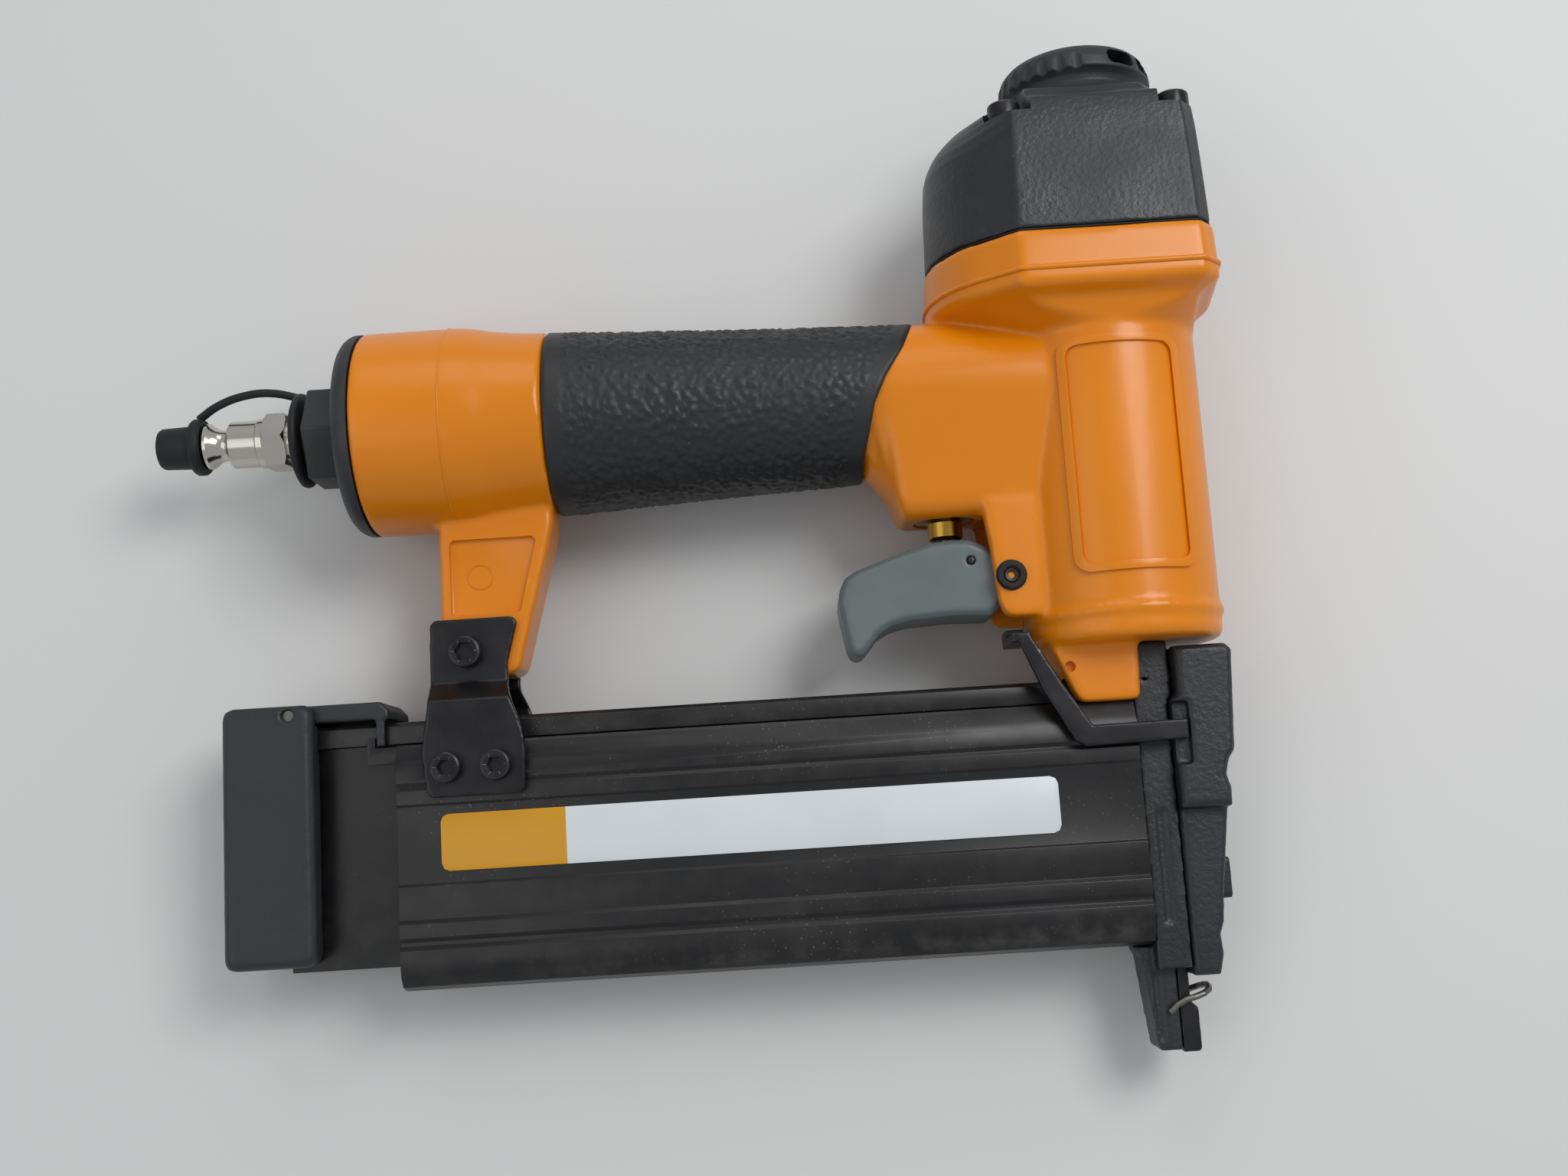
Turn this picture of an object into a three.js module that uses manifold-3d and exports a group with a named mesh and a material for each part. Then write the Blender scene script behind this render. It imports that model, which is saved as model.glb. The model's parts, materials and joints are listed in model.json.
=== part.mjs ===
// Pneumatic brad nailer, built upright and then laid on its left side the way it rests on a bench.
// Upright frame: X forward towards the nose side, Y to the tool's left side, Z up the drive axis.
import * as THREE from 'three';
import { mergeVertices } from 'three/addons/utils/BufferGeometryUtils.js';
import Module from 'manifold-3d';

const wasm = await Module();
wasm.setup();

// Driving dimensions, in millimetres
const barrelBottom = 103;
const flangeTop = 206.4;
const headHalfWidth = 32.5;
const headFront = 30.5;
const capTop = 248.8;
const cylinderBore = 19.2;
const barrelWall = 6;
const barrelRadius = cylinderBore + barrelWall;
const stroke = 80;
const handleZ = 172;
const handleEnd = -195.7;
const handleEndRadius = 27.1;
const gripStart = -146.8;
const gripStartRadius = 24.6;
const gripEndRadius = 20.9;
const rubberThickness = 2.4;
const bellyBottom = 138.6;
const earHalfWidth = 14;
const triggerHalfWidth = 9.8;
const pivot = [-30, 121.6];
const valveX = -44.6;
const magazineFront = -1.3;
const magazineRear = -189;
const magazineBottom = 26.8;
const flankTop = 88.2;
const railHalfWidth = 7.6;
const flankWall = 5;
const railTop = 94.3;
const slotHalfWidth = 1.6;
const bradLength = 50;
const bradRow = 60;
const endCapRear = -232.5;
const endCapFront = -209.3;
const armHalfWidth = 8;
const bracketMidX = -168.7;
const plugBodyRadius = 6.3;
const fit = 0.3;
const seat = 0.1;
const around = 24;

const flankHalfWidth = railHalfWidth + fit + flankWall;
const hookInside = railHalfWidth + 1.7;
const hookOutside = railHalfWidth + 3.2;
const latchHalfWidth = railHalfWidth + 3.4;

const driverTip = bradLength + 30.6;
const pistonBottom = barrelBottom + 11 + stroke;
const boltX = bracketMidX - 1.8;
const pairX = [bracketMidX - 6.8, bracketMidX + 5.7];

// Shape helpers
function solid(geometry) {
  let g = geometry.index ? geometry.toNonIndexed() : geometry.clone();
  g.deleteAttribute('normal');
  g.deleteAttribute('uv');
  g = mergeVertices(g, 1e-4);
  const p = g.attributes.position.array;
  const source = g.index.array;
  const faces = [];
  let volume = 0;
  for (let i = 0; i < source.length; i += 3) {
    const [a, b, c] = [source[i], source[i + 1], source[i + 2]];
    if (a === b || b === c || a === c) continue;
    faces.push(a, b, c);
    const va = new THREE.Vector3().fromArray(p, 3 * a);
    const vb = new THREE.Vector3().fromArray(p, 3 * b);
    const vc = new THREE.Vector3().fromArray(p, 3 * c);
    volume += va.dot(vb.cross(vc));
  }
  if (volume < 0) faces.reverse();
  return new wasm.Manifold(new wasm.Mesh({
    numProp: 3,
    vertProperties: Float32Array.from(p),
    triVerts: Uint32Array.from(faces),
  }));
}

// Places (u, v) of an outline and w along the named axis
function place(axis, u, v, w) {
  if (axis === 'x') return [w, u, v];
  if (axis === 'y') return [u, w, v];
  return [u, v, w];
}

function remap(geometry, axis, order) {
  const p = geometry.attributes.position;
  for (let i = 0; i < p.count; i += 1) {
    const [u, v, w] = order([p.getX(i), p.getY(i), p.getZ(i)]);
    p.setXYZ(i, ...place(axis, u, v, w));
  }
  return geometry;
}

function prism(axis, outline, from, to, bevel = 0) {
  const shape = new THREE.Shape(outline.map(([u, v]) => new THREE.Vector2(u, v)));
  const geometry = new THREE.ExtrudeGeometry(shape, {
    depth: to - from - 2 * bevel,
    steps: 1,
    curveSegments: 6,
    bevelEnabled: bevel > 0,
    bevelThickness: bevel,
    bevelSize: bevel,
    bevelOffset: -bevel,
    bevelSegments: 1,
  });
  geometry.translate(0, 0, from + bevel);
  return solid(remap(geometry, axis, ([u, v, w]) => [u, v, w]));
}

// Turned shape: profile pairs are [position along the axis, radius]
function turned(axis, centre, profile, segments = around) {
  const points = profile.map(([along, radius]) => new THREE.Vector2(radius, along));
  const geometry = new THREE.LatheGeometry(points, segments);
  return solid(remap(geometry, axis, ([x, y, z]) => [x + centre[0], z + centre[1], y]));
}

function rod(axis, centre, radius, from, to, segments = 20, endRadius = radius) {
  return turned(axis, centre, [[from, 0], [from, radius], [to, endRadius], [to, 0]], segments);
}

function tube(axis, centre, outer, inner, from, to, segments = around) {
  return turned(axis, centre, [[from, inner], [from, outer], [to, outer], [to, inner], [from, inner]], segments);
}

function hexBar(axis, centre, cornerRadius, from, to) {
  const corners = [0, 1, 2, 3, 4, 5].map((i) => [
    centre[0] + cornerRadius * Math.cos((i * Math.PI) / 3),
    centre[1] + cornerRadius * Math.sin((i * Math.PI) / 3),
  ]);
  return prism(axis, corners, from, to);
}

function block(x0, x1, y0, y1, z0, z1) {
  return prism('z', [[x0, y0], [x1, y0], [x1, y1], [x0, y1]], z0, z1);
}

function roundedRect(u0, u1, v0, v1, radius, steps = 2) {
  const corners = [[u1 - radius, v0 + radius, -0.5], [u1 - radius, v1 - radius, 0],
    [u0 + radius, v1 - radius, 0.5], [u0 + radius, v0 + radius, 1]];
  return corners.flatMap(([u, v, turn]) => Array.from({ length: steps + 1 }, (_, i) => {
    const angle = (turn + (0.5 * i) / steps) * Math.PI;
    return [u + radius * Math.cos(angle), v + radius * Math.sin(angle)];
  }));
}

// Outline round a set of circles [u, v, radius], one point for each direction
function wrap(circles, count = 32) {
  return Array.from({ length: count }, (_, i) => {
    const angle = (2 * Math.PI * (i + 0.5)) / count;
    const [c, s] = [Math.cos(angle), Math.sin(angle)];
    const reach = ([u, v, r]) => u * c + v * s + r;
    const best = circles.reduce((a, b) => (reach(b) > reach(a) ? b : a));
    return [best[0] + best[2] * c, best[1] + best[2] * s];
  });
}

function loft(rings) {
  const count = rings[0].length;
  const middle = (ring) => ring.reduce((a, p) => a.map((v, k) => v + p[k] / count), [0, 0, 0]);
  const positions = [...rings.flat(), middle(rings[0]), middle(rings[rings.length - 1])].flat();
  const first = rings.length * count;
  const index = [];
  for (let i = 0; i < count; i += 1) {
    const j = (i + 1) % count;
    for (let k = 0; k + 1 < rings.length; k += 1) {
      const [a, b] = [k * count, (k + 1) * count];
      index.push(a + i, a + j, b + j, a + i, b + j, b + i);
    }
    index.push(first, j, i);
    index.push(first + 1, first - count + i, first - count + j);
  }
  const geometry = new THREE.BufferGeometry();
  geometry.setAttribute('position', new THREE.Float32BufferAttribute(positions, 3));
  geometry.setIndex(index);
  return solid(geometry);
}

function wire(points, radius, sides = 8, steps = 24) {
  const curve = new THREE.CatmullRomCurve3(points.map((p) => new THREE.Vector3(...p)));
  const frames = curve.computeFrenetFrames(steps, false);
  const rings = Array.from({ length: steps + 1 }, (_, k) => {
    const centre = curve.getPointAt(k / steps);
    return Array.from({ length: sides }, (__, i) => {
      const angle = (2 * Math.PI * i) / sides;
      const p = centre.clone();
      p.addScaledVector(frames.normals[k], radius * Math.cos(angle));
      p.addScaledVector(frames.binormals[k], radius * Math.sin(angle));
      return p.toArray();
    });
  });
  return loft(rings);
}

// Compression spring whose end coils lie flat
function coil(axis, centre, radius, wireRadius, from, to, turns, perTurn = 10) {
  const steps = Math.round(turns * perTurn);
  const rings = Array.from({ length: steps + 1 }, (_, k) => {
    const angle = (2 * Math.PI * k) / perTurn;
    const free = Math.min(Math.max((k / perTurn - 0.75) / (turns - 1.5), 0), 1);
    const level = from + wireRadius + (to - from - 2 * wireRadius) * free;
    return Array.from({ length: 5 }, (__, i) => {
      const t = (2 * Math.PI * i) / 5;
      const reach = radius + wireRadius * Math.cos(t);
      return place(axis, centre[0] + reach * Math.cos(angle), centre[1] + reach * Math.sin(angle),
        level + wireRadius * Math.sin(t));
    });
  });
  return loft(rings);
}

// Socket head screw: head beyond the seat in the direction given, shank the other way
function screw(axis, centre, seatAt, direction, headRadius, headHeight, shankRadius, length) {
  const span = (a, b) => [Math.min(a, b), Math.max(a, b)];
  const head = rod(axis, centre, headRadius, ...span(seatAt, seatAt + direction * headHeight));
  const shank = rod(axis, centre, shankRadius, ...span(seatAt + direction, seatAt - direction * length), 10);
  const top = seatAt + direction * headHeight;
  const socket = hexBar(axis, centre, headRadius * 0.58, ...span(top + direction, top - direction * headHeight * 0.6));
  return head.add(shank).subtract(socket);
}

function mirrored(outline) {
  return [...outline, ...outline.map(([y, z]) => [-y, z]).reverse()];
}

const paint = {
  orange: { color: 0xcf7a10, roughness: 0.35, metalness: 0.1, density: 2700 },
  blackCast: { color: 0x1c1d1f, roughness: 0.55, metalness: 0.2, density: 2700 },
  blackPlastic: { color: 0x1e2023, roughness: 0.6, metalness: 0, density: 1100 },
  blackSteel: { color: 0x202124, roughness: 0.45, metalness: 0.6, density: 7850 },
  anodised: { color: 0x101113, roughness: 0.35, metalness: 0.4, density: 2700 },
  rubber: { color: 0x1b1b1d, roughness: 0.85, metalness: 0, density: 1200 },
  grey: { color: 0x5c6466, roughness: 0.5, metalness: 0, density: 1100 },
  steel: { color: 0xa9abad, roughness: 0.35, metalness: 1, density: 7850 },
  nickel: { color: 0xc9c7c0, roughness: 0.2, metalness: 1, density: 7850 },
  brass: { color: 0xb08a3c, roughness: 0.3, metalness: 1, density: 8500 },
  aluminium: { color: 0xb4b6b8, roughness: 0.35, metalness: 1, density: 2700 },
  label: { color: 0xe6e6e2, roughness: 0.5, metalness: 0, density: 1100 },
};

const pieces = [];
function piece(name, colour, body) {
  pieces.push({ name, colour, body });
}

// Head outline shared by the housing flange, the gasket and the cap
function headCircles(grow, rear = 0, side = 0) {
  const backCentre = -12.5;
  const cornerY = headHalfWidth - 10.3;
  const frontY = headHalfWidth - 9.5;
  return [
    [backCentre, 0, headHalfWidth + grow - rear],
    [-23 + side * 0.6, cornerY - side, 10.3 + grow],
    [-23 + side * 0.6, side - cornerY, 10.3 + grow],
    [headFront - 9.5 - side, frontY - side, 9.5 + grow],
    [headFront - 9.5 - side, side - frontY, 9.5 + grow],
  ];
}
const level = (circles, z) => wrap(circles).map(([x, y]) => [x, y, z]);
const screwSpots = [[-23, -21.8], [-23, 21.8], [headFront - 9.5, -22], [headFront - 9.5, 22]];

// Housing: barrel, head flange, neck, handle, magazine arm and nose block in one casting
const barrelCircle = (grow) => [[0, 0, barrelRadius + grow]];
const barrel = loft([
  level(barrelCircle(-1.8), barrelBottom),
  level(barrelCircle(0), barrelBottom + 2),
  level(barrelCircle(0), barrelBottom + 6),
  level(barrelCircle(0.8), barrelBottom + 6.5),
  level(barrelCircle(0.8), barrelBottom + 8),
  level(barrelCircle(0), barrelBottom + 8.5),
  level(barrelCircle(0), flangeTop - 22.5),
  level(headCircles(-4.5), flangeTop - 16.4),
  level(headCircles(-1), flangeTop - 14.6),
  level(headCircles(0), flangeTop - 13.4),
  level(headCircles(0), flangeTop),
]);

// Neck between handle and barrel; sections are [x, upper radius, lower half width, lower z, lower radius]
function neck(grow) {
  const sections = [[-76, 18, 8, 162, 8], [-66, 19, 10, 163, 10], [-62, 19.4, 11.5, 158.5, 9.5],
    [-59, 19.5, 13, 154, 9.2], [-57, 19.6, 13.5, 147.5, 7.5], [-55.6, 19.6, 13.5, bellyBottom + 6.1, 6],
    [-50, 19.6, 14, bellyBottom + 5.6, 5.6], [-19, 19.6, 14, bellyBottom + 5.6, 5.6]];
  return loft(sections.map(([x, upper, half, lowerZ, lower]) => wrap([
    [0, handleZ + 1, upper + grow],
    [half - lower, lowerZ, lower + grow],
    [lower - half, lowerZ, lower + grow],
  ], 24).map(([y, z]) => [x, y, z])));
}

const coreRadius = (x) => {
  const t = (x - gripStart) / (-57.5 - gripStart);
  return gripStartRadius + (gripEndRadius - gripStartRadius) * Math.min(1, 1.35 * t - 0.35 * t * t);
};
const gripStations = [gripStart, -130, -112, -94, -76];
const handleBody = turned('x', [0, handleZ], [
  [handleEnd, 0],
  [handleEnd, handleEndRadius - 0.8],
  [handleEnd + 0.7, handleEndRadius],
  [handleEnd + 27, handleEndRadius],
  [handleEnd + 32, handleEndRadius - 0.9],
  [handleEnd + 38, gripStartRadius + 0.7],
  [handleEnd + 44, gripStartRadius + 0.1],
  [gripStart - fit, gripStartRadius],
  [gripStart - fit, gripStartRadius - rubberThickness],
  ...gripStations.map((x) => [x, coreRadius(x) - rubberThickness]),
  [-60, gripEndRadius - rubberThickness],
  [-60, 0],
], 28);

const arm = prism('y', [
  [-177.5, 152], [-177.5, 112], [-176.4, 107], [-174, 105.2], [-160.2, 105], [-157.6, 106.2], [-157, 107.5],
  [-148.6, 139], [-147.2, 145], [-147.2, 152],
], -armHalfWidth, armHalfWidth, 1.2);
const armPocket = [[-174.6, 121], [-156.6, 121], [-152, 139.6], [-152.8, 140.8], [-173.6, 140.8], [-174.6, 139.8]];

const ears = prism('y', [
  [-36.5, 143], [-35.6, 137.5], [-34.6, 129.5], [-33.4, 115], [-32.6, 112.8], [-31.4, 111.5], [-29.6, 111],
  [-14, 111], [-14, 143],
], -earHalfWidth, earHalfWidth, 1);
const noseBlock = prism('y', [
  [-21.4, 110], [-20.8, 101.5], [-16, 89.8], [-14.4, 88.2], [-0.6, 88.2], [0.5, 89.2], [1, 106], [-10, 110],
], -13, 13, 0.9);

const framePlan = roundedRect(-14.8, 16, 120, 180, 4, 1);
const frameHole = roundedRect(-13, 14.2, 121.8, 178.2, 2.8, 1);
const sideFrames = prism('y', framePlan, -40, 40)
  .subtract(prism('y', frameHole, -41, 41))
  .intersect(rod('z', [0, 0], barrelRadius + 0.7, 115, 185, 32));

let housing = barrel
  .add(neck(0))
  .add(handleBody)
  .add(arm)
  .add(ears)
  .add(noseBlock)
  .add(sideFrames);
housing = housing.subtract(rod('z', [0, 0], cylinderBore + 2.4, barrelBottom + 5, flangeTop + 1, around));
housing = housing.subtract(rod('z', [0, 0], 5, barrelBottom - 1, barrelBottom + 6));
housing = housing.subtract(turned('x', [0, handleZ], [
  [handleEnd - 1, 0], [handleEnd - 1, 23], [handleEnd + 9, 23], [handleEnd + 9, gripStartRadius - 4.1],
  [gripStart - 4, gripStartRadius - 4.6], [gripStart + 4, gripStartRadius - 7.2], [-72, gripEndRadius - 6.3],
  [-60, 11], [-18, 11], [-18, 0],
], 20));
housing = housing.subtract(block(-40, -24.7, -10.4, 10.4, 96, bellyBottom - 0.2));
housing = housing.subtract(rod('z', [valveX, 0], 8.3, bellyBottom - 2, bellyBottom + 19.6, 28));
housing = housing.subtract(rod('z', [valveX, 0], 3, bellyBottom + 18, handleZ - 8, 12));
housing = housing.subtract(rod('y', pivot, 2.2, -20, 20, 20));
housing = housing.subtract(block(-4, 4, -10.3, 10.3, 84, barrelBottom));
housing = housing.subtract(block(-30, -3.9, -railHalfWidth - 1.5, railHalfWidth + 1.5, 84, railTop + 0.4));
housing = housing.subtract(rod('y', [-16.9, 97.4], 1.3, -16, -11.4, 12));
housing = housing.subtract(rod('y', [-16.9, 97.4], 1.3, 11.4, 16, 12));
housing = housing.subtract(rod('y', [boltX, 111], 2.7, -12, 12, 16));
for (const side of [-1, 1]) {
  const outer = side * (armHalfWidth + 2);
  const inner = side * (armHalfWidth - 1.4);
  housing = housing.subtract(prism('y', armPocket, Math.min(outer, inner), Math.max(outer, inner)));
  const ring = tube('y', [-166.9, 130.9], 3.4, 2.9, armHalfWidth - 2, armHalfWidth - 1.15, 16);
  housing = housing.add(side > 0 ? ring : tube('y', [-166.9, 130.9], 3.4, 2.9,
    1.15 - armHalfWidth, 2 - armHalfWidth, 16));
}
for (const spot of screwSpots) housing = housing.subtract(rod('z', spot, 2.7, flangeTop - 11, flangeTop + 1, 12));
piece('housing', 'orange', housing);

// Grip sleeve over the handle core, its front end cut on the slant
const gripOutside = turned('x', [0, handleZ], [
  [gripStart, 0],
  [gripStart, gripStartRadius - 0.5],
  [gripStart + 0.6, gripStartRadius],
  ...gripStations.slice(1).map((x) => [x, coreRadius(x)]),
  [-57.5, gripEndRadius],
  [-40, gripEndRadius],
  [-40, 0],
], 28);
const gripInside = turned('x', [0, handleZ], [
  [gripStart - 2, 0],
  [gripStart - 2, gripStartRadius - rubberThickness + fit],
  ...gripStations.map((x) => [x, coreRadius(x) - rubberThickness + fit]),
  [-59.6, gripEndRadius - rubberThickness + fit],
  [-59.6, 0],
], 28);
const gripFront = -17.3 - headHalfWidth;
const gripCut = prism('y', [
  [gripFront + 1.2, 200], [gripFront, 191.6], [gripFront - 3.8, 183], [gripFront - 8.8, 174.6],
  [gripFront - 12.2, 167], [gripFront - 13.8, 160], [gripFront - 15.4, 154],
  [gripFront - 16.2, 145], [gripFront + 19.8, 145], [gripFront + 19.8, 200],
], -40, 40);
piece('grip_sleeve', 'rubber', gripOutside.subtract(gripInside).subtract(neck(fit)).subtract(gripCut));

// Handle end cap with its hexagonal hub, seal, air plug and dust cap
const capOuter = handleEnd - seat;
const hubEnd = capOuter - 15.6;
const endCap = turned('x', [0, handleZ], [
  [capOuter - 4.7, 0],
  [capOuter - 4.7, handleEndRadius - 2.6],
  [capOuter - 3.6, handleEndRadius - 1.0],
  [capOuter - 1.6, handleEndRadius - 0.1],
  [capOuter, handleEndRadius - 0.1],
  [capOuter, 22.6],
  [capOuter + 2.4, 22.6],
  [capOuter + 2.4, 20.9],
  [capOuter + 5, 20.9],
  [capOuter + 5, 22.6],
  [capOuter + 7.4, 22.6],
  [capOuter + 7.4, 0],
], 28).add(hexBar('x', [0, handleZ], 14, hubEnd, capOuter - 4))
  .subtract(rod('x', [0, handleZ], 6.1, hubEnd - 1, capOuter + 9, 24));
piece('handle_end_cap', 'blackPlastic', endCap);
piece('end_cap_seal', 'rubber', tube('x', [0, handleZ], 22.5, 21.1, capOuter + 2.6, capOuter + 4.8));

const plugHex = hubEnd - 6.2;
const airPlug = turned('x', [0, handleZ], [
  [plugHex - 33.6, 3.2],
  [plugHex - 33.6, 4.5],
  [plugHex - 33, 4.9],
  [plugHex - 23.6, 4.9],
  [plugHex - 22.2, 6.1],
  [plugHex - 21.2, 6.1],
  [plugHex - 19.8, 4.9],
  [plugHex - 18.4, 4.2],
  [plugHex - 17, 4.1],
  [plugHex - 16.2, 4.6],
  [plugHex - 15.8, plugBodyRadius],
  [plugHex - 8, plugBodyRadius],
  [plugHex - 7.4, plugBodyRadius + 0.5],
  [plugHex - 6.1, plugBodyRadius + 0.5],
  [plugHex, 5.8],
  [hubEnd + 8, 5.8],
  [hubEnd + 8, 3.2],
  [plugHex - 33.6, 3.2],
], 20).add(hexBar('x', [0, handleZ], 8.1, plugHex - 6.1, plugHex)
  .subtract(rod('x', [0, handleZ], 4, plugHex - 7, plugHex + 1, 20)));
piece('air_plug', 'nickel', airPlug);

const dustMouth = plugHex - 22.8;
piece('dust_cap', 'rubber', turned('x', [0, handleZ], [
  [dustMouth - 12.2, 0],
  [dustMouth - 12.2, 4.6],
  [dustMouth - 11.4, 5.5],
  [dustMouth - 3.4, 5.8],
  [dustMouth - 3, 7.4],
  [dustMouth - 0.6, 7.6],
  [dustMouth, 7],
  [dustMouth, 6.3],
  [dustMouth - 0.8, 5.1],
  [dustMouth - 11.1, 5.1],
  [dustMouth - 11.1, 0],
], 24));

const strapX = hubEnd - 2.6;
const strapRing = turned('x', [0, handleZ], [
  [strapX - 1.1, 6.1], [strapX - 1.1, 12], [strapX - 0.5, 12.7], [strapX + 0.5, 12.7], [strapX + 1.1, 12],
  [strapX + 1.1, 6.1], [strapX - 1.1, 6.1],
], 32);
const tether = wire([
  [dustMouth - 1.6, -1.2, handleZ + 8.9], [dustMouth + 4, -2.6, handleZ + 10.4],
  [dustMouth + 12, -3.4, handleZ + 12.6], [strapX - 8, -2.6, handleZ + 13], [strapX, -0.6, handleZ + 11.4],
], 1.1, 5, 12);
piece('dust_cap_tether', 'rubber', strapRing.add(tether));

// Head: gasket, cap, screws, exhaust deflector and the head valve inside
const capBottom = flangeTop + 0.7;
const gasketOutline = wrap(headCircles(-1.2));
let gasket = prism('z', gasketOutline, flangeTop + seat, capBottom - seat);
gasket = gasket.subtract(rod('z', [0, 0], cylinderBore + 2.6, flangeTop, capBottom, around));
for (const spot of screwSpots) gasket = gasket.subtract(rod('z', spot, 2.8, flangeTop, capBottom, 12));
piece('cap_gasket', 'rubber', gasket);

const capHeights = [[capBottom, 0, 0], [225, 0.5, 0.5], [232, 1, 0.8], [238, 3.6, 1.2], [242, 7, 1.8],
  [245, 11, 3.2], [247, 15, 5.4], [capTop, 19, 8]];
let cap = loft(capHeights.map(([z, rear, side]) => level(headCircles(-0.6, rear, side), z)));
cap = cap.subtract(rod('z', [0, 0], 26.2, capBottom - 1, capBottom + 24.5, around));
cap = cap.subtract(rod('z', [0, 0], 12.6, capBottom + 20, capTop - 7, 32));
for (let i = 0; i < 6; i += 1) {
  const angle = (i * Math.PI) / 3;
  cap = cap.subtract(rod('z', [8.6 * Math.cos(angle), 8.6 * Math.sin(angle)], 2.9, capTop - 10, capTop + 1, 8));
}
cap = cap.subtract(rod('z', [0, 0], 2.2, capTop - 12, capTop + 1, 12));
for (const spot of screwSpots) {
  cap = cap.subtract(rod('z', spot, 5.5, 239.2, capTop + 4, 16));
  cap = cap.subtract(rod('z', spot, 2.8, capBottom - 1, 241, 12));
}
piece('head_cap', 'blackCast', cap);
screwSpots.forEach((spot, i) => {
  piece(`cap_screw_${i + 1}`, 'blackSteel', screw('z', spot, 239.3, 1, 4.3, 5.2, 2.4, 41));
});

const hoodBase = capTop + 0.35;
let hood = turned('z', [0, 0], [
  [hoodBase, 5.2], [hoodBase, 4.6], [hoodBase + 8.6, 4.6], [hoodBase + 8.6, 2.4], [hoodBase + 10.4, 2.4],
  [hoodBase + 10.4, 5], [hoodBase + 12.2, 5.4], [hoodBase + 12.2, 15.2], [hoodBase + 11.6, 17.6],
  [hoodBase + 9.8, 19.6], [hoodBase + 6.2, 20.7], [hoodBase + 5.6, 20], [hoodBase + 3, 18.6],
  [hoodBase, 19.8], [hoodBase, 17.2], [hoodBase + 9.9, 16], [hoodBase + 9.9, 5.9], [hoodBase, 5.2],
], 28);
for (let i = 0; i < 9; i += 1) {
  const angle = Math.PI * (0.62 + (0.76 * i) / 8);
  const spot = [22.2 * Math.cos(angle), 22.2 * Math.sin(angle)];
  hood = hood.subtract(rod('z', spot, 2.5, hoodBase + 5.4, hoodBase + 13, 6));
}
for (const angle of [-50, 0, 50]) {
  const port = prism('x', roundedRect(-4.6, 4.6, hoodBase + 6.6, hoodBase + 9.8, 1.5), 10, 26);
  hood = hood.subtract(port.rotate([0, 0, angle]));
}
piece('exhaust_deflector', 'blackPlastic', hood);
piece('deflector_screw', 'blackSteel', screw('z', [0, 0], hoodBase + 10.5, 1, 4.2, 1.6, 2, 19));

const valveBase = capBottom + 0.6;
piece('head_valve', 'blackPlastic', turned('z', [0, 0], [
  [valveBase, 8], [valveBase, 25.6], [valveBase + 5, 25.6], [valveBase + 5, 13.4], [valveBase + 6, 12.2],
  [valveBase + 30, 12.2], [valveBase + 30, 8], [valveBase, 8],
]));
piece('head_valve_spring', 'steel', coil('z', [0, 0], 16.5, 0.8, valveBase + 5.1, capBottom + 24.4, 4, 10));

// Cylinder, bumper, piston and driver
const sleeveBottom = barrelBottom + 5.2;
let sleeve = turned('z', [0, 0], [
  [sleeveBottom, cylinderBore], [sleeveBottom, cylinderBore + 2.1], [flangeTop - 9, cylinderBore + 2.1],
  [flangeTop - 9, cylinderBore + 0.9], [flangeTop - 6.6, cylinderBore + 0.9],
  [flangeTop - 6.6, cylinderBore + 2.1], [flangeTop + 0.4, cylinderBore + 2.1],
  [flangeTop + 0.4, cylinderBore], [sleeveBottom, cylinderBore],
]);
for (let i = 0; i < 3; i += 1) {
  const hole = rod('x', [0, sleeveBottom + 14], 1.3, -30, 30, 6);
  sleeve = sleeve.subtract(hole.rotate([0, 0, 60 * i]));
}
piece('cylinder_sleeve', 'aluminium', sleeve);
piece('cylinder_seal', 'rubber', tube('z', [0, 0], cylinderBore + 2.2, cylinderBore + 1.1, flangeTop - 8.8, flangeTop - 6.8));
const bumperTop = pistonBottom - stroke - 0.2;
piece('bumper', 'rubber', turned('z', [0, 0], [
  [sleeveBottom, 4.6], [sleeveBottom, cylinderBore - 0.4], [bumperTop - 1.5, cylinderBore - 0.6],
  [bumperTop, cylinderBore - 2.6], [bumperTop, 5.8], [sleeveBottom, 4.6],
]));
const piston = turned('z', [0, 0], [
  [pistonBottom, 0], [pistonBottom, cylinderBore - 1.2], [pistonBottom + 1, cylinderBore - 0.4],
  [pistonBottom + 3.2, cylinderBore - 0.4], [pistonBottom + 3.2, cylinderBore - 2.2],
  [pistonBottom + 6.2, cylinderBore - 2.2], [pistonBottom + 6.2, cylinderBore - 0.4],
  [pistonBottom + 9, cylinderBore - 0.4], [pistonBottom + 9, 9], [pistonBottom + 7, 7.6], [pistonBottom + 7, 0],
]).subtract(block(-1.1, 1.1, -1.7, 1.7, pistonBottom - 1, pistonBottom + 5.2));
piece('piston', 'aluminium', piston);
piece('piston_ring', 'rubber', tube('z', [0, 0], cylinderBore - 0.15, cylinderBore - 2, pistonBottom + 3.4, pistonBottom + 6));
piece('driver_blade', 'steel', block(-0.8, 0.8, -1.4, 1.4, driverTip, pistonBottom + 5));

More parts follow.
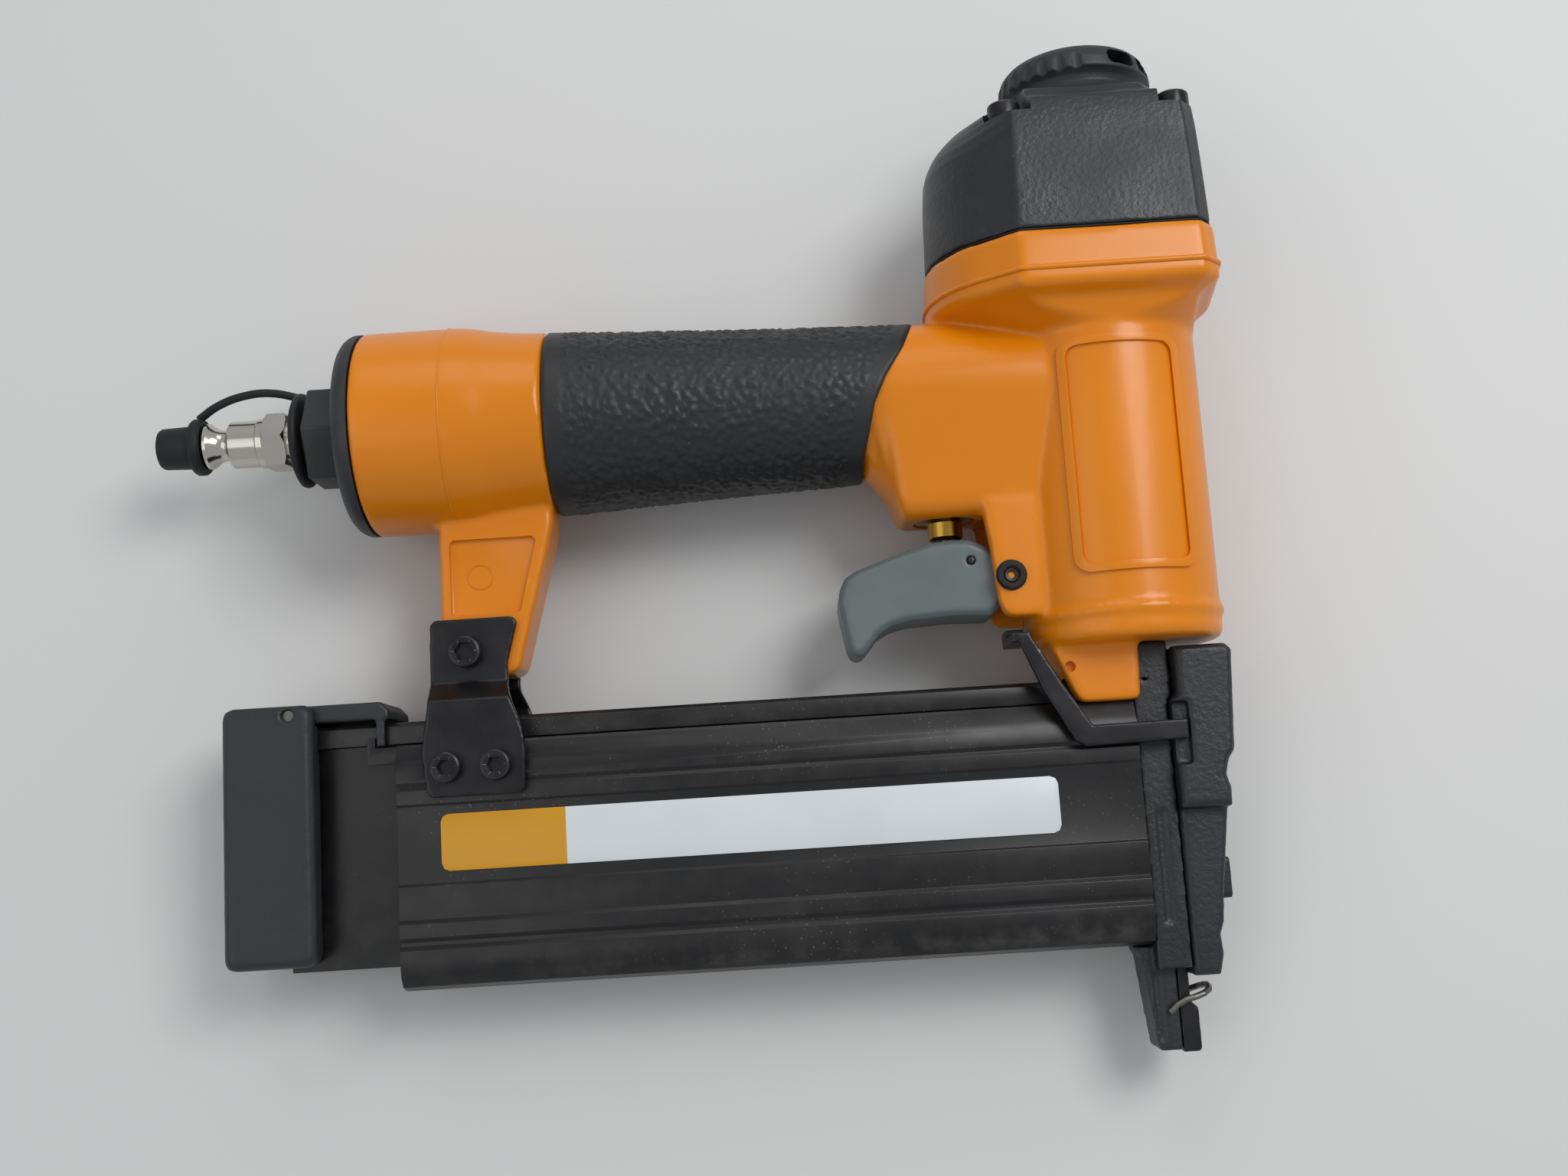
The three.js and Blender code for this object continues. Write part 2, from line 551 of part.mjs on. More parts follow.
// Trigger, its lever, pins and grommets
let trigger = prism('y', [
  [-73.9, 121], [-72.4, 124.2], [-69.4, 126], [-59.8, 129.3], [-49.8, 132.1], [-44.4, 132.6], [-39.5, 132.4],
  [-35.4, 130.6], [-30.6, 126.4], [-27, 125.2], [-25.5, 122.8], [-25.5, 119.6], [-27.4, 117], [-31.6, 116],
  [-33.2, 113.6], [-35.4, 112.2], [-45.9, 112.6], [-56.6, 112], [-61.2, 110.9], [-64.6, 109], [-67, 106],
  [-68.6, 104.2], [-70.2, 103.7], [-71.8, 104.4], [-72.6, 106.4], [-73.7, 112.8], [-74.4, 117.6],
], -triggerHalfWidth, triggerHalfWidth, 1.5);
trigger = trigger.subtract(prism('y', [[-62, 140], [-60, 124], [-56, 121.5], [-24, 121.5], [-24, 140]], -6.2, 6.2));
trigger = trigger.subtract(block(-36, -24, -6.2, 6.2, 114.6, 130));
trigger = trigger.subtract(rod('y', pivot, 2.2, -12, 12, 20));
trigger = trigger.subtract(rod('y', [-39.4, 126.8], 1.25, -12, 12, 12));
piece('trigger', 'grey', trigger);
const leverOutline = [[-57.6, 125.6], [-56.8, 124.8], [-41, 124.6], [-38.2, 124.4], [-37.2, 126], [-37.2, 128.2],
  [-38.4, 129.4], [-56.8, 127.6]];
piece('trigger_lever', 'steel', prism('y', leverOutline, -5.8, 5.8).subtract(rod('y', [-39.4, 126.8], 1.25, -7, 7, 12)));
piece('lever_pin', 'blackSteel', rod('y', [-39.4, 126.8], 1, -9.6, 9.6, 12));
piece('trigger_pivot_pin', 'steel', rod('y', pivot, 2, -earHalfWidth - 0.6, earHalfWidth + 0.6, 20));
for (const [name, side] of [['near', -1], ['far', 1]]) {
  const ends = [side * (earHalfWidth + seat), side * (earHalfWidth + 1.5)].sort((a, b) => a - b);
  piece(`pin_grommet_${name}`, 'rubber', turned('y', pivot, [
    [ends[0], 2.15], [ends[0], side < 0 ? 3.5 : 4.1], [ends[1], side < 0 ? 4.1 : 3.5], [ends[1], 2.15],
    [ends[0], 2.15],
  ], 24));
}

// Trigger valve
piece('valve_body', 'brass', turned('z', [valveX, 0], [
  [bellyBottom - 4.8, 1.75], [bellyBottom - 4.8, 3.9], [bellyBottom - 4.2, 4.6], [bellyBottom - 0.2, 4.6],
  [bellyBottom + 0.3, 6], [bellyBottom + 0.3, 8], [bellyBottom + 19, 8], [bellyBottom + 19, 5],
  [bellyBottom + 8, 5], [bellyBottom + 8, 1.75], [bellyBottom - 4.8, 1.75],
], 28));
piece('valve_stem', 'steel', turned('z', [valveX, 0], [
  [bellyBottom - 9.2, 0], [bellyBottom - 9.2, 1], [bellyBottom - 8.6, 1.5], [bellyBottom + 8.3, 1.5],
  [bellyBottom + 8.3, 4.2], [bellyBottom + 10.2, 4.2], [bellyBottom + 10.2, 1.5], [bellyBottom + 14, 1.5],
  [bellyBottom + 14, 0],
], 16));
piece('valve_spring', 'steel', coil('z', [valveX, 0], 3.2, 0.4, bellyBottom + 10.3, bellyBottom + 19.5, 4, 8));

// Bent strap that links the trigger to the nose
const strapOutline = [[-30.6, 106.6], [-27, 106.6], [-19.4, 92.8], [-12.9, 82.2], [10.9, 82.4], [10.9, 77.4],
  [-15, 76.9], [-17.6, 78.6], [-24.6, 91.6]];
const strapFar = -flankHalfWidth - 0.4;
const strapNear = strapFar - 2.2;
const link = prism('y', strapOutline, strapNear, strapFar, 0.3)
  .add(block(-31.4, -26.6, strapNear + 0.1, 4, 104.4, 106.6))
  .add(block(-31.4, -26.6, -4, 4, 105, 108.6));
piece('trip_link', 'blackSteel', link);

// Nose: body with the drive channel, guide plate, front cover, wire clip and screws
let noseBody = prism('y', [
  [-3.6, railTop + 0.9], [-3.6, barrelBottom - 0.2], [8.6, barrelBottom - 0.2], [8.6, 88.6], [7.4, 87.6],
  [7.4, 21], [-1, 21], [-1, railTop + 0.9],
], -10, 10);
noseBody = noseBody.add(prism('y', [
  [-5.3, magazineBottom - 0.5], [-5, 25], [-4.2, 23.8], [-1.9, 1.6], [-1.3, 0.7], [4, 0.7], [4, 30], [-1, 30],
  [-1, magazineBottom - 0.5],
], -6, 6));
noseBody = noseBody.subtract(block(-1.15, 1.15, -1.8, 1.8, -1, 110));
noseBody = noseBody.subtract(block(-6, 0, -1.3, 1.3, 29, driverTip + 1));
noseBody = noseBody.subtract(block(4, 9, -5.3, 5.3, -1, 62));
for (const side of [-1, 1]) {
  noseBody = noseBody.subtract(prism('z', roundedRect(-2.2, 0.2, side * 6.4 - 1, side * 6.4 + 1, 0.3, 1), 3, 20));
  noseBody = noseBody.subtract(block(1.6, 4.4, side * 10.4 - 1, side * 10.4 + 1, 32, 60));
  noseBody = noseBody.subtract(rod('x', [side * 7.4, 94], 2.3, 1, 10, 16));
}
piece('nose_body', 'blackCast', noseBody);
piece('driver_guide', 'blackSteel', prism('y', [
  [4.3, 0], [8.4, 0], [9, 0.8], [9, 10.6], [7.2, 12.4], [7.2, 61.6], [4.3, 61.6],
], -5, 5));

let cover = prism('y', [
  [9.2, 101], [22.4, 101], [24, 99.4], [23.4, 90], [22.3, 74], [20.6, 71.6], [19.7, 68], [20.6, 64.6], [20.4, 60],
  [7.7, 60], [7.7, 87.4], [9.2, 88.8],
], -14.8, 14.8, 1.2);
cover = cover.add(prism('y', [
  [7.7, 66], [20.2, 66], [20.2, 60], [18.4, 48], [17, 38], [16.4, 31.6], [15.2, 28.6], [15.6, 24], [14.4, 18.8],
  [7.7, 18.8],
], -10.6, 10.6, 1));
cover = cover.add(prism('x', roundedRect(-5, 5, 37, 47.4, 0.8), 14, 20.6));
cover = cover.subtract(block(6, 11.4, strapNear - 0.5, strapFar + 0.6, 71.1, 86.8));
for (const side of [-1, 1]) {
  cover = cover.subtract(rod('x', [side * 7.4, 94], 4.6, 20, 30, 24));
  cover = cover.subtract(rod('x', [side * 7.4, 94], 2.5, 5, 22, 16));
}
piece('front_cover', 'blackCast', cover);
[-1, 1].forEach((side, i) => {
  piece(`cover_screw_${i + 1}`, 'blackSteel', screw('x', [side * 7.4, 94], 20.1, 1, 4.1, 3.6, 2, 17));
});
piece('nose_clip', 'steel', wire([
  [1.2, -7.1, 10], [4.4, -7.1, 12.6], [8.4, -7.1, 13.6], [11.4, -6, 14.6], [12.6, -2.4, 15.4], [12.6, 2.4, 15.4],
  [11.4, 6, 14.6], [8.4, 7.1, 13.6], [4.4, 7.1, 12.6], [1.2, 7.1, 10],
], 0.9, 6, 14));

// Magazine: fixed outer channel, sliding rail with end cap, pusher, springs and brads
const flank = flankHalfWidth;
const channelOutside = [
  [6.5, magazineBottom], [10.4, 28], [12.2, 30.8], [flank, 34.4], [flank, 37], [flank - 0.7, 38], [flank - 0.7, 39],
  [flank, 40], [flank, 43.4], [flank - 0.7, 44.4], [flank - 0.4, 46], [flank - 0.3, 52.6], [flank - 0.8, 53.2],
  [flank - 0.8, 72.4], [flank - 0.2, 73], [flank - 0.1, 76.4], [flank - 0.7, 77.4], [flank - 0.1, 78.4],
  [flank - 0.2, 82.6], [flank - 1, 84.2], [flank - 2.4, flankTop],
];
const channelInside = [[railHalfWidth + fit, flankTop], [railHalfWidth + fit, 30.2]];
let channel = prism('x', mirrored([...channelOutside, ...channelInside]), magazineRear, magazineFront);
for (const side of [-1, 1]) {
  for (const x of pairX) {
    const ends = [side * (railHalfWidth + 1), side * (flank + 2)].sort((a, b) => a - b);
    channel = channel.subtract(rod('y', [x, 81.7], 2.2, ends[0], ends[1], 16));
  }
  const near = Math.min(side * hookInside, side * hookOutside);
  channel = channel.add(block(magazineRear - 7.5, magazineRear + 4, near, near + hookOutside - hookInside, 83.6, 87.8));
  channel = channel.add(block(magazineRear - 7.5, magazineRear - 5.5, near, near + hookOutside - hookInside, 86, 90.4));
}
piece('magazine_channel', 'anodised', channel);

const railRear = endCapFront - 8;
const railOutline = [
  [slotHalfWidth, 33], [railHalfWidth, 33], [railHalfWidth, flankTop + 0.4], [railHalfWidth + 1.2, flankTop + 0.4],
  [railHalfWidth + 1.2, railTop - 1], [railHalfWidth + 0.2, railTop], [0, railTop],
];
const railSlot = driverTip + 1.6;
let rail = prism('x', mirrored([[slotHalfWidth, railSlot], ...railOutline.slice(0, -1)]), railRear, magazineFront - fit);
rail = rail.subtract(rod('x', [0, 60], 3.6, railRear - 1, magazineFront + 1, 12));
piece('magazine_rail', 'anodised', rail);

const pusherFront = magazineFront - bradRow - 1;
const pusher = block(pusherFront - 16, pusherFront, -1.25, 1.25, 31, driverTip + 0.4)
  .add(rod('x', [0, 60], 3.2, pusherFront - 16, pusherFront - 4, 16));
piece('pusher', 'steel', pusher);
piece('pusher_spring', 'steel', coil('x', [0, 60], 2.6, 0.4, railRear + 0.4, pusherFront - 16.2, 10, 8));
piece('brad_strip', 'steel', block(magazineFront - bradRow, magazineFront + 0.2, -0.6, 0.6, driverTip - bradLength, driverTip - 1)
  .add(block(magazineFront - bradRow, magazineFront + 0.2, -1, 1, driverTip - 1.2, driverTip - 0.1)));

let magazineCap = prism('y', roundedRect(endCapRear, endCapFront, 34.5, 99.8, 2.5), -latchHalfWidth - 4, latchHalfWidth + 4, 1.6);
magazineCap = magazineCap.subtract(prism('x', [
  [railHalfWidth + fit, 32.6], [railHalfWidth + fit, 87.8], [railHalfWidth + 1.6, 87.8],
  [railHalfWidth + 1.6, railTop + 0.4], [-railHalfWidth - 1.6, railTop + 0.4], [-railHalfWidth - 1.6, 87.8],
  [-railHalfWidth - fit, 87.8], [-railHalfWidth - fit, 32.6],
], railRear - fit, endCapFront + 1));
magazineCap = magazineCap.subtract(block(-229.6, endCapFront + 1, -latchHalfWidth - 0.4, latchHalfWidth + 0.4, railTop + 0.3, 102));
magazineCap = magazineCap.subtract(block(-229.6, -218.4, -latchHalfWidth - 0.4, latchHalfWidth + 0.4, 92.4, 102));
magazineCap = magazineCap.subtract(rod('z', [-223.6, 0], 2.7, 85, 94, 16));
magazineCap = magazineCap.subtract(rod('y', [-215.6, 97.2], 1.6, -latchHalfWidth - 5, latchHalfWidth + 5, 16));
piece('magazine_end_cap', 'blackPlastic', magazineCap);
let latch = prism('y', [
  [-229.2, 99.7], [-229.2, 95.2], [magazineRear - 1.8, 95.2], [magazineRear - 1.8, 97.4], [magazineRear - 4, 99.7],
], -latchHalfWidth, latchHalfWidth, 0.4);
for (const side of [-1, 1]) {
  const near = Math.min(side * hookInside, side * hookOutside);
  latch = latch.add(block(magazineRear - 5.2, magazineRear - 3, near, near + hookOutside - hookInside, 88.3, 96));
}
latch = latch.subtract(rod('y', [-215.6, 97.2], 1.6, -latchHalfWidth - 1, latchHalfWidth + 1, 16));
piece('latch_lever', 'blackPlastic', latch);
piece('latch_pin', 'steel', rod('y', [-215.6, 97.2], 1.4, -latchHalfWidth - 2.4, latchHalfWidth + 2.4, 16));
piece('latch_spring', 'steel', coil('z', [-223.6, 0], 1.9, 0.4, 85.1, 95.1, 4, 8));
piece('label_plate', 'label', prism('y', roundedRect(-178, -22.5, 56, 70.2, 2), -flank + 0.3, -flank + 0.7));

// Brackets that hold the magazine to the handle arm
function bracket(side) {
  const t = 2;
  const upper = armHalfWidth + seat;
  const lower = flank + seat;
  const profile = [[upper, 121], [upper, 102.6], [lower, 97.6], [lower, 74], [lower + t, 74], [lower + t, 98.4],
    [upper + t, 103.4], [upper + t, 121]];
  const outline = [[-181, 76], [-182, 86], [-181.2, 91], [-180.2, 97], [-180, 118.4], [-178.6, 119.8],
    [-158.8, 119.8], [-157.4, 118.4], [-160.2, 108], [-160.2, 102], [-156.4, 91], [-155.6, 86], [-156, 75.6],
    [-157.4, 74.3], [-179.6, 74.3]];
  let plate = prism('x', profile.map(([y, z]) => [side * y, z]), -185, -150).intersect(prism('y', outline, -20, 20));
  plate = plate.subtract(rod('y', [boltX, 111], 2.7, -20, 20, 16));
  for (const x of pairX) plate = plate.subtract(rod('y', [x, 81.7], 2.2, -20, 20, 16));
  return plate;
}
piece('bracket_near', 'blackSteel', bracket(-1));
piece('bracket_far', 'blackSteel', bracket(1));
const bracketFace = armHalfWidth + seat + 2 + seat;
piece('bracket_bolt', 'blackSteel', screw('y', [boltX, 111], -bracketFace, -1, 4.1, 3.8, 2.4, 2 * bracketFace + 5));
piece('bracket_nut', 'steel', hexBar('y', [boltX, 111], 4.6, bracketFace, bracketFace + 4)
  .subtract(rod('y', [boltX, 111], 2.6, bracketFace - 1, bracketFace + 5, 16)));
let screwNumber = 0;
for (const side of [-1, 1]) {
  for (const x of pairX) {
    screwNumber += 1;
    const face = side * (flank + seat + 2 + seat);
    piece(`bracket_screw_${screwNumber}`, 'blackSteel', screw('y', [x, 81.7], face, side, 3.9, 3, 1.9, 5.6));
  }
}

// Lay the tool down: the far side is underneath and three of its edges touch the bench
const meshes = pieces.map(({ name, colour, body }) => {
  const { density, ...look } = paint[colour];
  const data = body.getMesh();
  const geometry = new THREE.BufferGeometry();
  geometry.setAttribute('position', new THREE.Float32BufferAttribute(data.vertProperties, 3));
  geometry.setIndex(Array.from(data.triVerts));
  geometry.computeVertexNormals();
  const mesh = new THREE.Mesh(geometry, new THREE.MeshStandardMaterial(look));
  mesh.name = name;
  mesh.material.name = colour;
  return { mesh, density };
});

const lying = new THREE.Matrix4().set(1, 0, 0, 0, 0, 0, 1, 0, 0, -1, 0, 0, 0, 0, 0, 1);
const points = [];
const centre = new THREE.Vector3();
let total = 0;
for (const { mesh, density } of meshes) {
  const p = mesh.geometry.attributes.position;
  const vertices = Array.from({ length: p.count }, (_, i) => new THREE.Vector3().fromBufferAttribute(p, i).applyMatrix4(lying));
  points.push(...vertices);
  const index = mesh.geometry.index.array;
  for (let i = 0; i < index.length; i += 3) {
    const [a, b, c] = [vertices[index[i]], vertices[index[i + 1]], vertices[index[i + 2]]];
    const mass = density * a.dot(b.clone().cross(c));
    total += mass;
    centre.addScaledVector(a.clone().add(b).add(c), mass / 4);
  }
}
centre.divideScalar(total);

// The bench plane lies under every point and is highest below the centre of mass
function above(plane, p) {
  return plane.normal.dot(p) + plane.constant;
}
function contains([a, b, c], p) {
  const turn = (u, v) => (v.x - u.x) * (p.y - u.y) - (v.y - u.y) * (p.x - u.x);
  const turns = [turn(a, b), turn(b, c), turn(c, a)];
  return turns.every((t) => t >= -1e-9) || turns.every((t) => t <= 1e-9);
}
let support = [[0, 5000], [-5000, -4000], [5000, -4000]].map(([x, y]) => new THREE.Vector3(x, y, 9000));
let bench = new THREE.Plane();
for (let round = 0; round < 200; round += 1) {
  bench.setFromCoplanarPoints(...support);
  if (bench.normal.z < 0) bench.negate();
  const lowest = points.reduce((a, b) => (above(bench, b) < above(bench, a) ? b : a));
  if (above(bench, lowest) > -1e-6) break;
  const choices = [0, 1, 2].map((i) => support.map((p, k) => (k === i ? lowest : p)));
  support = choices.find((three) => contains(three, centre));
}
const settle = new THREE.Matrix4().makeRotationFromQuaternion(
  new THREE.Quaternion().setFromUnitVectors(bench.normal, new THREE.Vector3(0, 0, 1)),
);
const attitude = settle.clone().multiply(lying);

const tool = new THREE.Group();
tool.name = 'tool';
meshes.forEach(({ mesh }) => tool.add(mesh));
tool.applyMatrix4(attitude);
const part = new THREE.Group();
part.name = 'pneumatic_brad_nailer';
part.add(tool);
part.updateMatrixWorld(true);
const box = new THREE.Box3();
points.forEach((p) => box.expandByPoint(p.clone().applyMatrix4(settle)));
const middle = box.getCenter(new THREE.Vector3());
tool.position.set(-middle.x, -middle.y, -box.min.z);

export default part;
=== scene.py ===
import json
import math

import bmesh
import bpy
from mathutils import Matrix, Vector, noise


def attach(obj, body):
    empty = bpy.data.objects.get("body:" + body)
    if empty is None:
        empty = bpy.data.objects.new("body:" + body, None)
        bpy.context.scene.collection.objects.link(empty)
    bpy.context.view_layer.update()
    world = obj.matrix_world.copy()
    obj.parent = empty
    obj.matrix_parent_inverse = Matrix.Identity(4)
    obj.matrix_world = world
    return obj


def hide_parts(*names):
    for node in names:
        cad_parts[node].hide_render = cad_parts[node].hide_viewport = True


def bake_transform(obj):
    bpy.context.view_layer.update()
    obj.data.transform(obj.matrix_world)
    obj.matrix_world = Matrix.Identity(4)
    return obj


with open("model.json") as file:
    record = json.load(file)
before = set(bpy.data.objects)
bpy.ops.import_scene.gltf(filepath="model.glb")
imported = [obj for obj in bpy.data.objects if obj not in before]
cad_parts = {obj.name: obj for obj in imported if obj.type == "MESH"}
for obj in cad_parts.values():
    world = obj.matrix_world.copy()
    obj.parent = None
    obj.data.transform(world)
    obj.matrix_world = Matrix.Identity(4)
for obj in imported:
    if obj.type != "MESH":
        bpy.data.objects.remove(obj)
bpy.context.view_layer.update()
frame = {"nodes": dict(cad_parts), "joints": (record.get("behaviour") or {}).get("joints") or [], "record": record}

NODES = frame["nodes"]
JOINTS = {joint["name"]: joint for joint in frame["joints"]}

# The tool's own upright frame: X forwards, Y to its left side, Z up the drive axis.
# Its unit is the millimetre, and TOOL takes a place in it to the world.
DEFLECTOR_LEVEL = 255.15  # height of the deflector's joint above the work face
drive_axis = Vector(JOINTS["deflector_turn"]["axis"]).normalized()
side_axis = Vector(JOINTS["trigger_pull"]["axis"]).normalized()
forward_axis = side_axis.cross(drive_axis).normalized()
tool_origin = Vector(JOINTS["deflector_turn"]["pos_m"]) - drive_axis * (DEFLECTOR_LEVEL / 1000)
TOOL = Matrix((
    (forward_axis.x, side_axis.x, drive_axis.x, tool_origin.x),
    (forward_axis.y, side_axis.y, drive_axis.y, tool_origin.y),
    (forward_axis.z, side_axis.z, drive_axis.z, tool_origin.z),
    (0, 0, 0, 1),
)) @ Matrix.Diagonal((0.001, 0.001, 0.001, 1))


def linked(name, data):
    """A new object in the scene's own collection"""
    shape = bpy.data.objects.new(name, data)
    bpy.context.scene.collection.objects.link(shape)
    return shape


# ---------------------------------------------------------------- camera
CAMERA_TILT, CAMERA_ROLL = 8.5, 3.6   # degrees
CAMERA_SPOT = (-88.16, -420, 61.25)   # in the tool's frame
SENSOR_WIDTH = 36
FOCAL_SHARE = 2100 / 2048             # focal length as a share of the picture's width
NEAREST, FARTHEST = 0.01, 20


def place_camera():
    """Sees the tool square on to its right side, a little from below and rolled"""
    tilt, roll = math.radians(CAMERA_TILT), math.radians(CAMERA_ROLL)
    turn = TOOL.to_3x3().normalized()
    sight = Vector((0, math.cos(tilt), math.sin(tilt)))
    level = Vector((1, 0, 0))
    upward = Vector((0, -math.sin(tilt), math.cos(tilt)))
    right = math.cos(roll) * level - math.sin(roll) * upward
    up = math.sin(roll) * level + math.cos(roll) * upward
    data = bpy.data.cameras.new("camera")
    data.sensor_width = SENSOR_WIDTH
    data.lens = SENSOR_WIDTH * FOCAL_SHARE
    data.clip_start, data.clip_end = NEAREST, FARTHEST
    camera = linked("camera", data)
    basis = Matrix((turn @ right, turn @ up, turn @ -sight)).transposed().to_4x4()
    camera.matrix_world = Matrix.Translation(TOOL @ Vector(CAMERA_SPOT)) @ basis
    bpy.context.scene.camera = camera


place_camera()


# ---------------------------------------------------------------- shader groups and materials
def new_group(name, inputs, outputs):
    """An empty node group with its sockets, and its input and output nodes"""
    tree = bpy.data.node_groups.new(name, "ShaderNodeTree")
    for label, kind, value in inputs:
        socket = tree.interface.new_socket(label, in_out="INPUT", socket_type=kind)
        socket.default_value = value
    for label, kind in outputs:
        tree.interface.new_socket(label, in_out="OUTPUT", socket_type=kind)
    return tree, tree.nodes.new("NodeGroupInput"), tree.nodes.new("NodeGroupOutput")


def add_node(tree, kind, settings=None, **inputs):
    """A node with its inputs set or linked; i0, i1 and so on name an input by its number"""
    node = tree.nodes.new(kind)
    for key, value in (settings or {}).items():
        setattr(node, key, value)
    for key, value in inputs.items():
        numbered = key[0] == "i" and key[1:].isdigit()
        socket = node.inputs[int(key[1:]) if numbered else key.replace("_", " ")]
        if isinstance(value, bpy.types.NodeSocket):
            tree.links.new(value, socket)
        else:
            socket.default_value = value
    return node


def reckoned(tree, operation, a, b, clamp=False):
    """The result of a Math node"""
    settings = {"operation": operation, "use_clamp": clamp}
    return add_node(tree, "ShaderNodeMath", settings, i0=a, i1=b).outputs[0]


def mixed(tree, factor, a, b):
    """The result of a colour Mix node"""
    return add_node(tree, "ShaderNodeMix", {"data_type": "RGBA"}, i0=factor, i6=a, i7=b).outputs[2]


def make_grain():
    """Fine moulded or cast grain with a soft larger mottle"""
    tree, start, end = new_group("surface_grain", [
        ("Scale", "NodeSocketFloat", 900.0), ("Mottle", "NodeSocketFloat", 40.0),
    ], [("Height", "NodeSocketFloat"), ("Shade", "NodeSocketFloat")])
    place = tree.nodes.new("ShaderNodeTexCoord").outputs["Object"]
    for socket, target, detail in (("Scale", "Height", 3.0), ("Mottle", "Shade", 4.0)):
        texture = add_node(tree, "ShaderNodeTexNoise", Vector=place, Scale=start.outputs[socket],
                           Detail=detail)
        tree.links.new(texture.outputs[0], end.inputs[target])
    return tree


def make_wear():
    """Mask for rubbed edges, broken up so that it comes and goes"""
    tree, start, end = new_group("edge_wear", [
        ("Reach", "NodeSocketFloat", 0.53), ("Strength", "NodeSocketFloat", 0.5),
    ], [("Mask", "NodeSocketFloat")])
    place = tree.nodes.new("ShaderNodeTexCoord").outputs["Object"]
    sharp = tree.nodes.new("ShaderNodeNewGeometry").outputs["Pointiness"]
    edge = add_node(tree, "ShaderNodeMapRange", i0=sharp, i1=start.outputs["Reach"], i2=0.62)
    patch = add_node(tree, "ShaderNodeTexNoise", Vector=place, Scale=160.0, Detail=5.0)
    broken = add_node(tree, "ShaderNodeMapRange", i0=patch.outputs[0], i1=0.42, i2=0.62)
    both = reckoned(tree, "MULTIPLY", edge.outputs[0], broken.outputs[0])
    tree.links.new(reckoned(tree, "MULTIPLY", both, start.outputs["Strength"]), end.inputs["Mask"])
    return tree


def make_dust():
    """Scattered pale specks and faint smears of workshop dust"""
    tree, start, end = new_group("workshop_dust", [
        ("Amount", "NodeSocketFloat", 0.3), ("Smear", "NodeSocketFloat", 0.15),
    ], [("Mask", "NodeSocketFloat")])
    place = tree.nodes.new("ShaderNodeTexCoord").outputs["Object"]
    cells = add_node(tree, "ShaderNodeTexVoronoi", Vector=place, Scale=700.0)
    dots = add_node(tree, "ShaderNodeMapRange", i0=cells.outputs["Distance"], i1=0.16, i2=0.08)
    field = add_node(tree, "ShaderNodeTexNoise", Vector=place, Scale=26.0, Detail=6.0, Roughness=0.7)
    where = add_node(tree, "ShaderNodeMapRange", i0=field.outputs[0], i1=0.5, i2=0.72)
    specks = reckoned(tree, "MULTIPLY", dots.outputs[0], where.outputs[0])
    specks = reckoned(tree, "MULTIPLY", specks, start.outputs["Amount"])
    smears = reckoned(tree, "MULTIPLY", where.outputs[0], start.outputs["Smear"])
    tree.links.new(reckoned(tree, "ADD", specks, smears, clamp=True), end.inputs["Mask"])
    return tree


GRAIN, WEAR, DUST = make_grain(), make_wear(), make_dust()


def linear(red, green, blue):
    """A picture colour, 0 to 255, as the linear colour that a shader takes"""
    channels = [c / 255 for c in (red, green, blue)]
    return tuple(c / 12.92 if c <= 0.04045 else ((c + 0.055) / 1.055) ** 2.4 for c in channels) + (1.0,)


DUST_COLOUR = linear(150, 146, 138)
COAT_ROUGHNESS = 0.12
WEAR_REACH = 0.53             # pointiness at which an edge starts to show wear
SHADE_LOW, SHADE_HIGH = 0.3, 0.7   # the part of the mottle's range that is used
RELIEF_DEPTH = 0.0002


def finish_material(name, colour, roughness, metallic=0.0, grain=900.0, bump=0.1, mottle=40.0,
                    shade=0.12, wear=None, wear_strength=0.4, dust=None, smear=0.1, coat=0.0,
                    specular=0.5, rough_spread=0.08):
    """One finish: mottled colour, worn edges, dust, uneven gloss and fine grain"""
    material = bpy.data.materials.new(name)
    material.use_nodes = True
    tree = material.node_tree
    shader = tree.nodes["Principled BSDF"]
    shader.inputs["Metallic"].default_value = metallic
    shader.inputs["Coat Weight"].default_value = coat
    shader.inputs["Coat Roughness"].default_value = COAT_ROUGHNESS
    shader.inputs["Specular IOR Level"].default_value = specular
    texture = add_node(tree, "ShaderNodeGroup", {"node_tree": GRAIN}, Scale=grain, Mottle=mottle)
    dark = tuple(c * (1 - shade) for c in colour[:3]) + (1,)
    light = tuple(min(1, c * (1 + shade)) for c in colour[:3]) + (1,)
    spread = add_node(tree, "ShaderNodeMapRange", i0=texture.outputs["Shade"], i1=SHADE_LOW, i2=SHADE_HIGH)
    current = mixed(tree, spread.outputs[0], dark, light)
    if wear is not None:
        edge = add_node(tree, "ShaderNodeGroup", {"node_tree": WEAR}, Reach=WEAR_REACH,
                        Strength=wear_strength)
        current = mixed(tree, edge.outputs["Mask"], current, wear)
    if dust is not None:
        film = add_node(tree, "ShaderNodeGroup", {"node_tree": DUST}, Amount=dust, Smear=smear)
        current = mixed(tree, film.outputs["Mask"], current, DUST_COLOUR)
    tree.links.new(current, shader.inputs["Base Color"])
    rough = add_node(tree, "ShaderNodeMapRange", i0=texture.outputs["Shade"], i1=SHADE_LOW, i2=SHADE_HIGH,
                     i3=roughness - rough_spread, i4=roughness + rough_spread)
    tree.links.new(rough.outputs[0], shader.inputs["Roughness"])
    relief = add_node(tree, "ShaderNodeBump", Height=texture.outputs["Height"], Strength=bump,
                      Distance=RELIEF_DEPTH)
    tree.links.new(relief.outputs[0], shader.inputs["Normal"])
    return material


